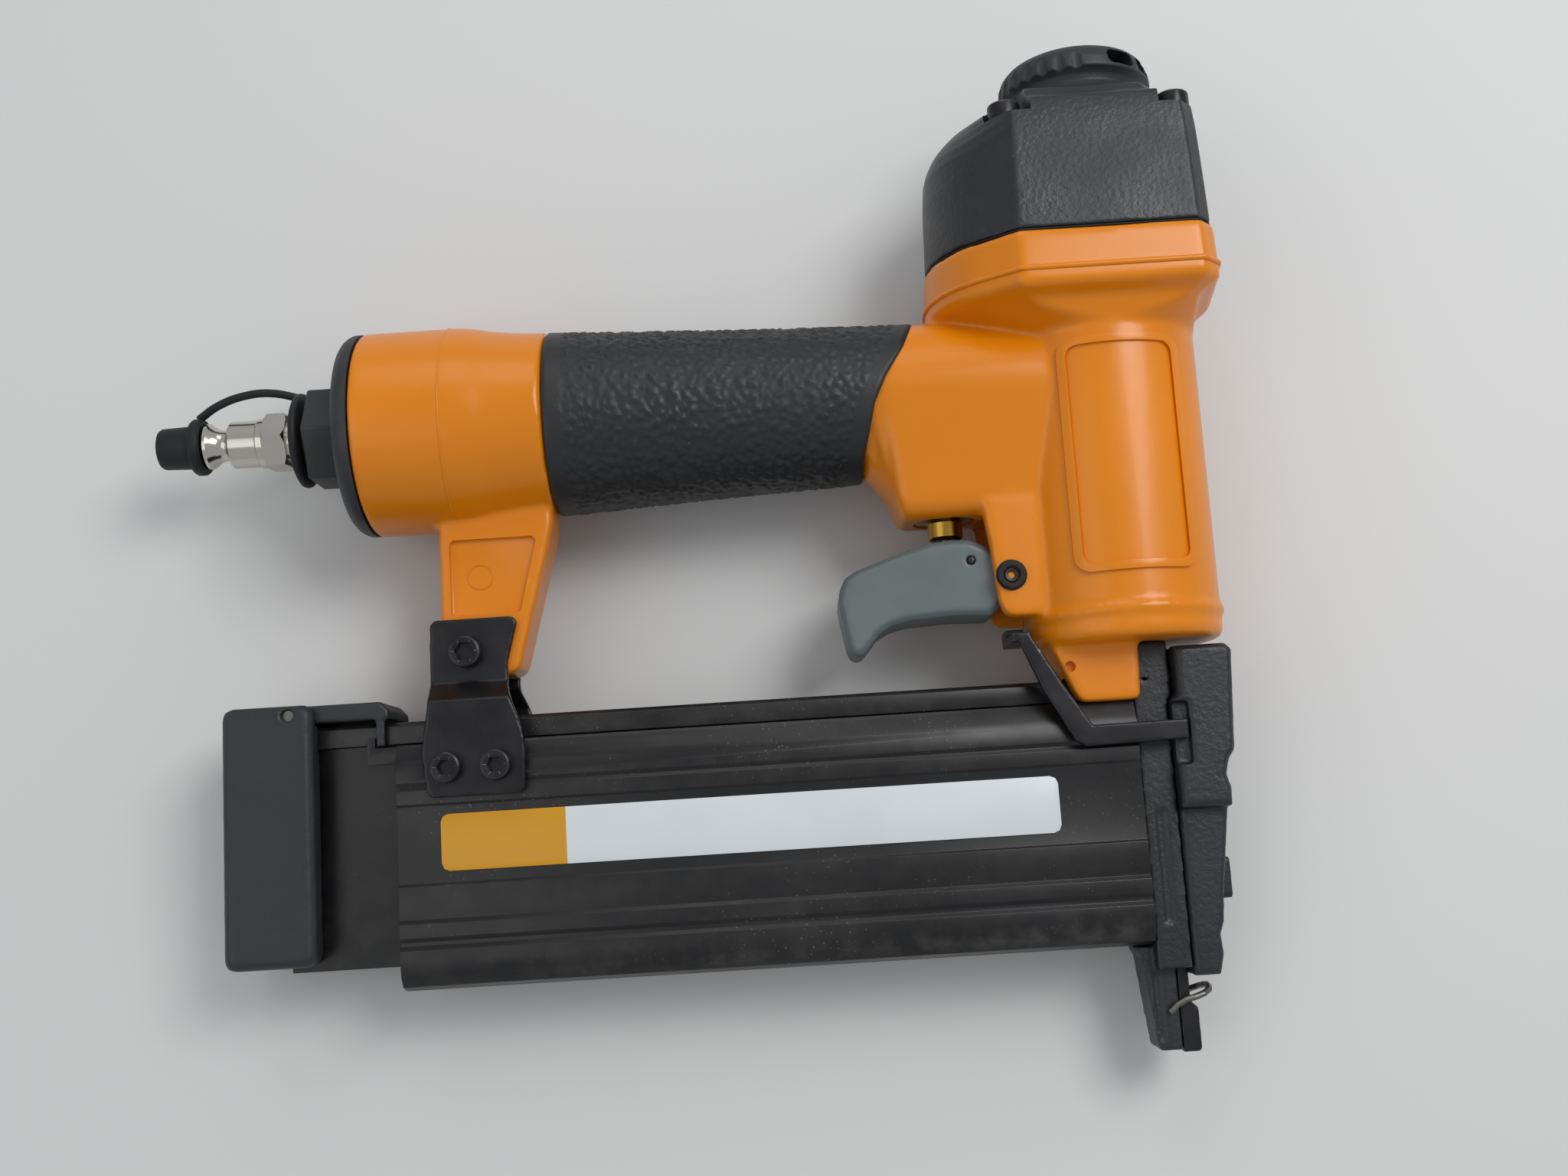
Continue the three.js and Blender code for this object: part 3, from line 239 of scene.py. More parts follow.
PAINT = {
    "orange": finish_material(
        "orange_paint", linear(224, 130, 0), 0.32, grain=260, bump=0.06, mottle=18, shade=0.05,
        wear=linear(236, 156, 40), wear_strength=0.4, coat=0.12, specular=0.4, rough_spread=0.05),
    "blackCast": finish_material(
        "black_cast", linear(30, 32, 36), 0.42, grain=750, bump=0.8, mottle=60, shade=0.1,
        wear=linear(88, 90, 94), wear_strength=0.5, dust=0.3, smear=0.03),
    "blackPlastic": finish_material(
        "black_plastic", linear(36, 38, 42), 0.5, grain=1100, bump=0.3, mottle=50, shade=0.1,
        wear=linear(80, 82, 86), wear_strength=0.4, dust=0.25, smear=0.04),
    "blackSteel": finish_material(
        "black_oxide_steel", linear(46, 46, 48), 0.33, 0.7, grain=700, bump=0.1, mottle=90, shade=0.15,
        wear=linear(150, 148, 146), wear_strength=0.8),
    "anodised": finish_material(
        "black_anodised", linear(17, 17, 19), 0.36, 0.1, grain=500, bump=0.05, mottle=30, shade=0.2,
        wear=linear(74, 72, 70), wear_strength=0.5, dust=0.6, smear=0.025),
    "rubber": finish_material(
        "black_rubber", linear(27, 28, 31), 0.6, grain=1500, bump=0.4, mottle=70, shade=0.12, specular=0.35),
    "grey": finish_material(
        "grey_trigger_plastic", linear(98, 107, 108), 0.42, grain=900, bump=0.12, mottle=40, shade=0.06,
        wear=linear(128, 136, 136), wear_strength=0.4),
    "steel": finish_material(
        "plain_steel", linear(116, 114, 110), 0.38, 1.0, grain=800, bump=0.1, mottle=60, shade=0.1),
    "nickel": finish_material(
        "nickel_plate", linear(205, 202, 194), 0.16, 1.0, grain=400, bump=0.02, mottle=60, shade=0.05,
        rough_spread=0.04),
    "brass": finish_material(
        "turned_brass", linear(186, 148, 62), 0.24, 1.0, grain=700, bump=0.05, mottle=60, shade=0.12),
    "aluminium": finish_material(
        "machined_aluminium", linear(182, 184, 186), 0.34, 1.0, grain=700, bump=0.08, mottle=60, shade=0.06),
}


def make_label():
    """Blank two-tone sticker: an amber block at the rear end, the rest white"""
    amber = linear(206, 146, 8)
    parting = (TOOL @ Vector((-146.5, 0, 63))).dot(forward_axis)
    blur = 0.00008
    material = finish_material("blank_label", linear(214, 219, 222), 0.34, grain=1200, bump=0.02, shade=0.03)
    tree = material.node_tree
    shader = tree.nodes["Principled BSDF"]
    white = shader.inputs["Base Color"].links[0].from_socket
    place = tree.nodes.new("ShaderNodeTexCoord").outputs["Object"]
    along = add_node(tree, "ShaderNodeVectorMath", {"operation": "DOT_PRODUCT"},
                     i0=place, i1=tuple(forward_axis))
    rear = add_node(tree, "ShaderNodeMapRange", i0=along.outputs["Value"],
                    i1=parting + blur, i2=parting - blur)
    tree.links.new(mixed(tree, rear.outputs[0], white, amber), shader.inputs["Base Color"])
    return material


PAINT["label"] = make_label()
OILED_STEEL = finish_material(
    "oiled_steel", linear(62, 60, 58), 0.42, 0.8, grain=800, bump=0.1, mottle=60, shade=0.1)
GRIP_RUBBER = finish_material(
    "grip_rubber", linear(31, 32, 34), 0.48, grain=1500, bump=0.3, mottle=70, shade=0.12, specular=0.5)
SLOT_OF = {entry["node"]: entry["material_slot"] for entry in frame["record"]["subparts"]}
for node_name, node in NODES.items():
    node.data.materials.clear()
    node.data.materials.append(PAINT[SLOT_OF[node_name]])


# ---------------------------------------------------------------- modelling helpers
# They work in the tool's frame and in millimetres
PRISM_CORNER = math.radians(50)    # a prism's edges that turn more than this are rounded
CAD_MERGE = 2e-6                   # metres
CAD_FLAT = math.radians(0.6)


def turned(bm, profile, axis, centre, steps=96):
    """Spins (position, radius) pairs round the axis, which passes through centre"""
    first = len(bm.verts)
    if axis == "x":
        points = [Vector((along, centre[0] + radius, centre[1])) for along, radius in profile]
        middle, direction = Vector((0, centre[0], centre[1])), Vector((1, 0, 0))
    elif axis == "y":
        points = [Vector((centre[0] + radius, along, centre[1])) for along, radius in profile]
        middle, direction = Vector((centre[0], 0, centre[1])), Vector((0, 1, 0))
    else:
        points = [Vector((centre[0] + radius, centre[1], along)) for along, radius in profile]
        middle, direction = Vector((centre[0], centre[1], 0)), Vector((0, 0, 1))
    verts = [bm.verts.new(point) for point in points]
    edges = [bm.edges.new(pair) for pair in zip(verts, verts[1:])]
    bmesh.ops.spin(bm, geom=verts + edges, cent=middle, axis=direction, angle=2 * math.pi,
                   steps=steps, use_merge=True)
    bm.verts.ensure_lookup_table()
    fresh = bm.verts[first:]
    bmesh.ops.remove_doubles(bm, verts=fresh, dist=1e-4)


def prism(bm, outline, axis, start, end, bevel=0.0, segments=2):
    """Extrudes an outline along the axis and rounds its edges"""
    order = {
        "x": lambda u, v, w: (w, u, v),
        "y": lambda u, v, w: (u, w, v),
        "z": lambda u, v, w: (u, v, w),
    }[axis]
    verts = [bm.verts.new(order(u, v, start)) for u, v in outline]
    face = bm.faces.new(verts)
    grown = bmesh.ops.extrude_face_region(bm, geom=[face])["geom"]
    moved = [item for item in grown if isinstance(item, bmesh.types.BMVert)]
    bmesh.ops.translate(bm, verts=moved, vec=Vector(order(0, 0, end - start)))
    if bevel:
        members = set(verts) | set(moved)
        sharp = [edge for edge in bm.edges if edge.verts[0] in members and edge.verts[1] in members
                 and len(edge.link_faces) == 2 and edge.calc_face_angle(0) > PRISM_CORNER]
        bmesh.ops.bevel(bm, geom=sharp, offset=bevel, segments=segments, profile=0.5, affect="EDGES",
                        material=-1)


def wrap(circles, count):
    """Outline round a set of circles (u, v, radius), one point for each direction"""
    outline = []
    for i in range(count):
        angle = 2 * math.pi * (i + 0.5) / count
        c, s = math.cos(angle), math.sin(angle)
        u, v, r = max(circles, key=lambda circle: circle[0] * c + circle[1] * s + circle[2])
        outline.append((u + r * c, v + r * s))
    return outline


def loft(bm, rings):
    """Skins a row of equal rings and closes both ends"""
    loops = []
    for k, ring in enumerate(rings):
        end = k in (0, len(rings) - 1)
        made = bmesh.ops.create_circle(bm, cap_ends=end, radius=1, segments=len(ring))["verts"]
        for vert, point in zip(made, ring):
            vert.co = point
        members = set(made)
        edges = {edge for vert in made for edge in vert.link_edges}
        loops.append([edge for edge in edges if edge.verts[0] in members and edge.verts[1] in members])
    for a, b in zip(loops, loops[1:]):
        bmesh.ops.bridge_loops(bm, edges=a + b)


def rounded_box(bm, low, high, bevel, segments=3):
    """A box between two corners with rounded edges"""
    size = [b - a for a, b in zip(low, high)]
    middle = [(a + b) / 2 for a, b in zip(low, high)]
    matrix = Matrix.Translation(middle) @ Matrix.Diagonal((*size, 1))
    verts = bmesh.ops.create_cube(bm, size=1, matrix=matrix)["verts"]
    if bevel:
        edges = {edge for vert in verts for edge in vert.link_edges}
        bmesh.ops.bevel(bm, geom=list(edges), offset=bevel, segments=segments, profile=0.5,
                        affect="EDGES", material=-1)


def mesh_from(bm, name):
    """The bmesh as a mesh; the bmesh is freed"""
    mesh = bpy.data.meshes.new(name)
    bm.to_mesh(mesh)
    bm.free()
    return mesh


def object_from(bm, name):
    """Takes a shape from the tool's frame to its place in the world"""
    bmesh.ops.transform(bm, matrix=TOOL, verts=bm.verts)
    bmesh.ops.recalc_face_normals(bm, faces=bm.faces)
    return linked(name, mesh_from(bm, name))


def final_mesh(shape):
    """The mesh that a shape's modifiers, or a curve's bevel, make"""
    return bpy.data.meshes.new_from_object(shape.evaluated_get(bpy.context.evaluated_depsgraph_get()))


def baked(shape):
    """Applies the modifiers to the mesh"""
    mesh = final_mesh(shape)
    shape.modifiers.clear()
    old = shape.data
    shape.data = mesh
    bpy.data.meshes.remove(old)
    return shape


def tube_of(curve, name):
    """A curve's tube as a mesh object"""
    path = linked(name, curve)
    mesh = final_mesh(path)
    bpy.data.objects.remove(path)
    return linked(name, mesh)


def fused(shape, voxel, rounds):
    """Melts overlapping shells into one casting with soft inside corners"""
    remesh = shape.modifiers.new("fuse", "REMESH")
    remesh.mode, remesh.voxel_size = "VOXEL", voxel / 1000
    soften = shape.modifiers.new("soften", "SMOOTH")
    soften.factor, soften.iterations = 0.5, rounds
    return baked(shape)


def combined(shape, operation, other, use_self=False):
    """Joins, trims or cuts a shape with another one, which is used up"""
    step = shape.modifiers.new("combine", "BOOLEAN")
    step.operation, step.solver, step.object = operation, "EXACT", other
    step.use_self = use_self
    baked(shape)
    bpy.data.objects.remove(other)
    return shape


def carved(shape, cutters):
    """Cuts shapes made by the cutter functions out of a piece"""
    bm = bmesh.new()
    for cutter in cutters:
        cutter(bm)
    return combined(shape, "DIFFERENCE", object_from(bm, "cutter"), use_self=True)


def break_edges(shape, width, segments, corner):
    """Bevels the edges that turn more than the corner, in degrees"""
    soften = shape.modifiers.new("broken_edges", "BEVEL")
    soften.width, soften.segments, soften.limit_method = width / 1000, segments, "ANGLE"
    soften.angle_limit, soften.profile = math.radians(corner), 0.5
    return soften


def dressed(shape, slot, *nodes, body=None, angle=35, material=None):
    """Shades a piece, colours it with its slot's paint, hangs it on its body and hides the CAD nodes it replaces
    """
    for polygon in shape.data.polygons:
        polygon.use_smooth = True
    shape.data.set_sharp_from_angle(angle=math.radians(angle))
    shape.data.materials.clear()
    shape.data.materials.append(material or PAINT[slot])
    if body:
        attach(shape, body)
    if nodes:
        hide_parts(*nodes)


def hand_over(shape, body, slot, *nodes, angle=35, material=None):
    """A finished piece for one body, kept from dipping below the floor"""
    for vertex in shape.data.vertices:
        vertex.co.z = max(vertex.co.z, 0)
    dressed(shape, slot, *nodes, body=body, angle=angle, material=material)


def merged_copy(node_name):
    """A CAD node's mesh with its loose triangles joined"""
    bm = bmesh.new()
    bm.from_mesh(NODES[node_name].data)
    bmesh.ops.remove_doubles(bm, verts=bm.verts, dist=CAD_MERGE)
    return bm


def refined(node_name, body, bevel=0.25, angle=40, voxel=None, rounds=3):
    """A finished copy of a CAD piece: one clean skin with broken edges, or a softened casting"""
    bm = merged_copy(node_name)
    bmesh.ops.dissolve_limit(bm, angle_limit=CAD_FLAT, verts=bm.verts, edges=bm.edges)
    name = node_name + "_finish"
    shape = linked(name, mesh_from(bm, name))
    if voxel:
        fused(shape, voxel, rounds)
    else:
        soften = break_edges(shape, bevel, 2, 30)
        soften.use_clamp_overlap, soften.miter_outer = True, "MITER_ARC"
        baked(shape)
    hand_over(shape, body, SLOT_OF[node_name], node_name, angle=angle)


# ---------------------------------------------------------------- shared sizes, as in the frame
BARREL_RADIUS = 25.2
BARREL_BOTTOM = 103.0
FLANGE_TOP = 206.4
HEAD_HALF = 32.5              # half the head's width
HEAD_FRONT = 30.5
CAP_TOP = 248.8
HANDLE_Z = 172.0              # height of the handle's axis
HANDLE_END = -195.7
HANDLE_END_RADIUS = 27.1
GRIP_START = -146.8
GRIP_FRONT = -57.5
GRIP_START_RADIUS = 24.6
GRIP_END_RADIUS = 20.9
RUBBER = 2.4                  # room for the grip's sleeve
BELLY = 138.6                 # underside of the neck, over the trigger
VALVE_X = -44.6
PIVOT = (-30.0, 121.6)        # the trigger's pin
HUB_END = HANDLE_END - 0.1 - 15.6
PLUG_HEX = HUB_END - 6.2
HOOD_BASE = CAP_TOP + 0.35
FLANK = 12.9                  # outside of the magazine channel
SCREW_SEAT = 239.3            # height of the cap screws' seats
SCREW_SPOTS = [(-23, -21.8), (-23, 21.8), (HEAD_FRONT - 9.5, -22), (HEAD_FRONT - 9.5, 22)]
HANDLE_AXIS = (0, HANDLE_Z)


def head_ring(grow, z, rear=0.0, side=0.0, count=128):
    """The head's plan at a height, grown all round and drawn in at the rear or the sides"""
    circles = [(-12.5, 0, HEAD_HALF + grow - rear)]
    for s in (1, -1):
        circles.append((-23 + side * 0.6, s * (HEAD_HALF - 1.6 - side), 1.6 + grow))
        circles.append((HEAD_FRONT - 8.9 - side, s * (HEAD_HALF - 1.6 - side), 1.6 + grow))
        circles.append((HEAD_FRONT - 5.6 - side, s * (HEAD_HALF - 5.6 - side), 1.8 + grow))
    circles.append((HEAD_FRONT - 20 - side, 0, 20 + grow))
    return [(x, y, z) for x, y in wrap(circles, count)]


def barrel_ring(grow, z, count=128):
    """The barrel's round at a height"""
    return [(x, y, z) for x, y in wrap([(0, 0, BARREL_RADIUS + grow)], count)]


def grip_radius(x):
    """Radius of the grip, which swells towards the rear"""
    t = (x - GRIP_START) / (GRIP_FRONT - GRIP_START)
    return GRIP_START_RADIUS + (GRIP_END_RADIUS - GRIP_START_RADIUS) * min(1, 1.35 * t - 0.35 * t * t)


# ---------------------------------------------------------------- housing casting
def neck_shell(bm):
    """From the handle to the head: an upper round and two lower ones, at each place along X"""
    # x, upper radius, half width, height of the lower rounds, their radius
    sections = [
        (-76, 18, 8, 162, 8), (-66, 19, 10, 163, 10), (-62, 19.4, 11.5, 158.5, 9.5),
        (-59, 19.5, 13, 154, 9.2), (-57, 19.6, 13.5, 147.5, 7.5), (-55.6, 19.6, 13.5, BELLY + 6.1, 6),
        (-50, 19.6, 14, BELLY + 5.6, 5.6), (-12, 19.6, 14, BELLY + 5.6, 5.6),
    ]
    rings = []
    for x, upper, half, lower_z, lower in sections:
        rounds = [(0, HANDLE_Z + 1, upper), (half - lower, lower_z, lower), (lower - half, lower_z, lower)]
        rings.append([(x, y, z) for y, z in wrap(rounds, 96)])
    loft(bm, rings)


def build_housing():
    """The orange casting: barrel, flange, handle, neck, magazine arm, trigger ears and nose block"""
    bm = bmesh.new()
    bottom, top = BARREL_BOTTOM, FLANGE_TOP
    rear, rear_radius = HANDLE_END, HANDLE_END_RADIUS
    loft(bm, [
        barrel_ring(-2.2, bottom), barrel_ring(-0.8, bottom + 0.5), barrel_ring(0, bottom + 2),
        barrel_ring(0, bottom + 5.9), barrel_ring(0.9, bottom + 6.5), barrel_ring(0.9, bottom + 8),
        barrel_ring(0, bottom + 8.6), barrel_ring(0, top - 22.5), head_ring(-4.5, top - 16.4),
        head_ring(-0.4, top - 14.6), head_ring(0.6, top - 13.4), head_ring(0.5, top - 10),
        head_ring(0, top - 0.3), head_ring(-0.3, top),
    ])
    turned(bm, [
        (rear, 0), (rear, rear_radius - 0.8), (rear + 0.7, rear_radius), (rear + 26, rear_radius + 0.1),
        (rear + 30, rear_radius - 0.4), (rear + 34, rear_radius - 1.3), (rear + 39, GRIP_START_RADIUS + 0.6),
        (rear + 44, GRIP_START_RADIUS + 0.15), (GRIP_START - 0.3, GRIP_START_RADIUS),
        (GRIP_START - 0.3, GRIP_START_RADIUS - RUBBER), (-112, grip_radius(-112) - RUBBER),
        (-76, grip_radius(-76) - RUBBER), (-60, GRIP_END_RADIUS - RUBBER), (-60, 0),
    ], "x", HANDLE_AXIS)
    neck_shell(bm)
    magazine_arm = [
        (-177.5, 152), (-177.5, 112), (-176.4, 107), (-174, 105.2), (-160.2, 105), (-157.6, 106.2),
        (-157, 107.5), (-148.6, 139), (-147.4, 145), (-147.4, 152),
    ]
    prism(bm, magazine_arm, "y", -8, 8, 1.2)
    trigger_ears = [
        (-36.5, 143), (-35.6, 137.5), (-34.6, 129.5), (-33.4, 115), (-32.6, 112.8), (-31.4, 111.5),
        (-29.6, 111), (-14, 111), (-14, 143),
    ]
    prism(bm, trigger_ears, "y", -14, 14, 1)
    nose_block = [
        (-21.4, 110), (-20.8, 101.5), (-16, 89.8), (-14.4, 88.2), (-0.6, 88.2), (0.5, 89.2), (1, 106),
        (-10, 110),
    ]
    prism(bm, nose_block, "y", -13, 13, 0.9)
    housing = fused(object_from(bm, "housing_casting"), 0.85, 5)

    gap_between_ears = (-40, -10.4, 96), (-24.7, 10.4, BELLY - 0.2)
    valve_bore = [(BELLY - 2, 0), (BELLY - 2, 8.3), (BELLY + 19.6, 8.3), (BELLY + 19.6, 0)]
    driver_slot = (-4, -10.3, 84), (4, 10.3, bottom + 0.2)
    nose_pin_hole = [(-16, 0), (-16, 1.4), (-11, 1.4), (-11, 0)]
    rail_slot = (-30, -9.1, 84), (-3.9, 9.1, 94.7)
    pocket = [(-174.6, 121), (-156.6, 121), (-152, 139.6), (-152.8, 140.8), (-173.6, 140.8), (-174.6, 139.8)]
    cylinder_bore = [
        (bottom - 1, 0), (bottom - 1, 5), (bottom + 5, 5), (bottom + 5, 21.6), (top + 1, 21.6), (top + 1, 0),
    ]
    air_chamber = [
        (rear - 1, 0), (rear - 1, 23), (rear + 9, 23), (rear + 9, 20.5), (GRIP_START - 4, 20),
        (GRIP_START + 4, 17.4), (-72, 14.6), (-60, 11), (-18, 11), (-18, 0),
    ]
    for cutters in (
        [
            lambda m: rounded_box(m, *gap_between_ears, 0.6),
            lambda m: turned(m, valve_bore, "z", (VALVE_X, 0), 48),
            lambda m: rounded_box(m, *driver_slot, 0),
            lambda m: turned(m, nose_pin_hole, "y", (-16.9, 97.4), 24),
        ],
        [lambda m: rounded_box(m, *rail_slot, 0)],
        [lambda m: prism(m, pocket, "y", -10, -6.6, 0.5), lambda m: prism(m, pocket, "y", 6.6, 10, 0.5)],
        [lambda m: turned(m, cylinder_bore, "z", (0, 0))],
        [lambda m: turned(m, air_chamber, "x", HANDLE_AXIS)],
    ):
        carved(housing, cutters)
    hand_over(housing, "tool_body", "orange", "housing", angle=50)


build_housing()


def frame_outline(low_u, high_u, low_v, high_v, corner, step=2):
    """A rounded rectangle with points along its straight sides too"""
    outline = []
    for cu, cv, start in ((high_u - corner, low_v + corner, -90), (high_u - corner, high_v - corner, 0),
                          (low_u + corner, high_v - corner, 90), (low_u + corner, low_v + corner, 180)):
        outline += [(cu + corner * math.cos(math.radians(start + a)),
                     cv + corner * math.sin(math.radians(start + a))) for a in range(0, 91, 15)]
    dense = []
    for (ua, va), (ub, vb) in zip(outline, outline[1:] + outline[:1]):
        pieces = max(1, int(math.hypot(ub - ua, vb - va) / step))
        dense += [(ua + (ub - ua) * k / pieces, va + (vb - va) * k / pieces) for k in range(pieces)]
    return dense


def raised_line(name, points, radius):
    """A closed bead along the points"""
    curve = bpy.data.curves.new(name, "CURVE")
    curve.dimensions = "3D"
    curve.bevel_depth, curve.bevel_resolution = radius / 1000, 3
    spline = curve.splines.new("POLY")
    spline.points.add(len(points) - 1)
    for point, place in zip(spline.points, points):
        point.co = (*(TOOL @ Vector(place)), 1)
    spline.use_cyclic_u = True
    hand_over(tube_of(curve, name), "tool_body", "orange", angle=80)


def build_beads():
    """Raised lines cast into the housing: side frames, flange bead, parting ring, pocket discs"""
    frame_outer = frame_outline(-15.1, 16.3, 119.7, 180.3, 4.2)
    frame_inner = frame_outline(-13, 14.2, 121.8, 178.2, 2.8)
    inner_radius, outer_radius = BARREL_RADIUS - 1.5, BARREL_RADIUS + 0.85
    pocket_x, pocket_z, pocket_depth, disc_radius = -166.9, 130.9, 6.6, 3.2
    for side, label in ((-1, "near"), (1, "far")):
        low, high = sorted((side * 17.5, side * 28))
        bm = bmesh.new()
        prism(bm, frame_outer, "y", low, high)
        rib = object_from(bm, f"side_frame_{label}")
        carved(rib, [lambda m: prism(m, frame_inner, "y", low - 1, high + 1)])
        bm = bmesh.new()
        turned(bm, [(110, inner_radius), (110, outer_radius), (190, outer_radius), (190, inner_radius),
                    (110, inner_radius)], "z", (0, 0), 160)
        combined(rib, "INTERSECT", object_from(bm, "barrel_skin"))
        break_edges(rib, 0.5, 3, 45)
        hand_over(baked(rib), "tool_body", "orange", angle=60)
        raised_line(f"pocket_disc_{label}", [
            (pocket_x + disc_radius * math.cos(a * math.pi / 18), side * pocket_depth,
             pocket_z + disc_radius * math.sin(a * math.pi / 18)) for a in range(36)], 0.22)
    raised_line("flange_bead", head_ring(0.45, FLANGE_TOP - 10.2), 0.75)
    ring_radius = HANDLE_END_RADIUS + 0.02
    raised_line("parting_ring", [
        (HANDLE_END + 23.2, ring_radius * math.cos(a * math.pi / 60),
         HANDLE_Z + ring_radius * math.sin(a * math.pi / 60)) for a in range(120)], 0.28)


build_beads()


# ---------------------------------------------------------------- rubber grip with pebbled skin
def build_grip():
    """A tapering tube whose front edge slants, with voronoi pebbles between two smooth bands"""
    # height and X of the front edge
    front_line = [(200, -48.6), (191.6, -49.8), (183, -53.6), (174.6, -58.6), (167, -62), (160, -63.6),
                  (154, -65.2), (140, -66)]
    mean_radius = 21.5
    band, band_blend = 4.2, 1.4           # the smooth band at each end
    lip_depth, lip_width = 0.7, 0.9
    pebble_scale, pebble_gain, pebble_sink, pebble_cap = 0.42, 1.25, 0.3, 0.4
    wall_thickness = 0.0019

    def front_at(z):
        for (za, xa), (zb, xb) in zip(front_line, front_line[1:]):
            if za >= z >= zb:
                return xa + (xb - xa) * (za - z) / (za - zb)
        return front_line[-1][1]

    rows, columns = 150, 210
    bm = bmesh.new()
    bmesh.ops.create_grid(bm, x_segments=rows, y_segments=columns, size=0.5)
    for vert in bm.verts:
        along, turn = vert.co.x + 0.5, (vert.co.y + 0.5) * 2 * math.pi
        level = HANDLE_Z + mean_radius * math.sin(turn)
        front = front_at(level)
        x = GRIP_START + (front - GRIP_START) * along
        radius = grip_radius(x)
        edge = min(along * (front - GRIP_START), (1 - along) * (front - GRIP_START))
        fade = min(1, max(0, (edge - band) / band_blend))
        radius -= lip_depth * max(0, 1 - edge / lip_width) ** 2
        spot = Vector((x, radius * math.cos(turn), radius * math.sin(turn)))
        near = noise.voronoi(spot * pebble_scale + 0.35 * noise.noise_vector(spot * 0.5))[0]
        pebble = min(pebble_cap, max(0.0, near[1] - near[0]))
        radius += fade * (pebble_gain * pebble - pebble_sink)
        vert.co = (x, radius * math.cos(turn), HANDLE_Z + radius * math.sin(turn))
    bmesh.ops.remove_doubles(bm, verts=bm.verts, dist=1e-3)
    grip = object_from(bm, "grip_skin")
    wall = grip.modifiers.new("wall", "SOLIDIFY")
    wall.thickness, wall.offset = wall_thickness, -1
    hand_over(baked(grip), "tool_body", "rubber", "grip_sleeve", angle=60, material=GRIP_RUBBER)


build_grip()


# ---------------------------------------------------------------- head cap and exhaust deflector
def build_head_cap():
    """The black casting on the flange: a leaning crown with four open screw seats"""
    bottom = FLANGE_TOP + 0.7
    # height, and how far the rear and the sides are drawn in there
    levels = [
        (bottom, 0, 0), (bottom + 0.4, -0.1, -0.05), (225, 0.5, 0.5), (232, 1.1, 0.8), (235, 2, 0.95),
        (238, 3.6, 1.2), (240, 5.2, 1.45), (242, 7.2, 1.8), (242.9, 8.2, 2.1), (243.4, 9, 2.8),
        (243.9, 10.2, 4.2), (244.6, 11, 6.2), (246, 13, 8), (248, 17, 9), (CAP_TOP, 19.4, 9.6),
    ]
    seat_radius, past_corner = 5.6, 14
    cavity = [
        (bottom - 1, 0), (bottom - 1, 26.2), (bottom + 24.5, 26.2), (bottom + 24.5, 12.6),
        (CAP_TOP - 7, 12.6), (CAP_TOP - 7, 9.5), (CAP_TOP + 1, 9.5), (CAP_TOP + 1, 2.4),
        (CAP_TOP - 7.5, 2.4), (CAP_TOP - 7.5, 0),
    ]

    def seat(m, spot):
        """Screw seat, open to the outside of its corner"""
        x, y = spot
        outward = past_corner if y > 0 else -past_corner
        circles = [(x, y, seat_radius), (x, y + outward, seat_radius)]
        if x > 0:
            circles += [(x + past_corner, y, seat_radius), (x + past_corner, y + outward, seat_radius)]
        prism(m, wrap(circles, 48), "z", SCREW_SEAT, 254)

    bm = bmesh.new()
    loft(bm, [head_ring(-0.6, z, rear, side) for z, rear, side in levels])
    cap = fused(object_from(bm, "head_cap_casting"), 0.5, 4)
    carved(cap, [lambda m, s=spot: seat(m, s) for spot in SCREW_SPOTS])
    carved(cap, [lambda m: turned(m, cavity, "z", (0, 0))])
    hand_over(cap, "tool_body", "blackCast", "head_cap", angle=40)


build_head_cap()


def build_gasket():
    """Thin rubber line between flange and cap"""
    skin = ((-0.9, 0.1), (-0.7, 0.25), (-0.7, 0.45), (-0.9, 0.6))
    bore = [(FLANGE_TOP - 1, 0), (FLANGE_TOP - 1, 21.8), (FLANGE_TOP + 2, 21.8), (FLANGE_TOP + 2, 0)]
    bm = bmesh.new()
    loft(bm, [head_ring(grow, FLANGE_TOP + z) for grow, z in skin])
    gasket = carved(object_from(bm, "gasket_line"), [lambda m: turned(m, bore, "z", (0, 0))])
    hand_over(gasket, "tool_body", "rubber", "cap_gasket", angle=40)


build_gasket()


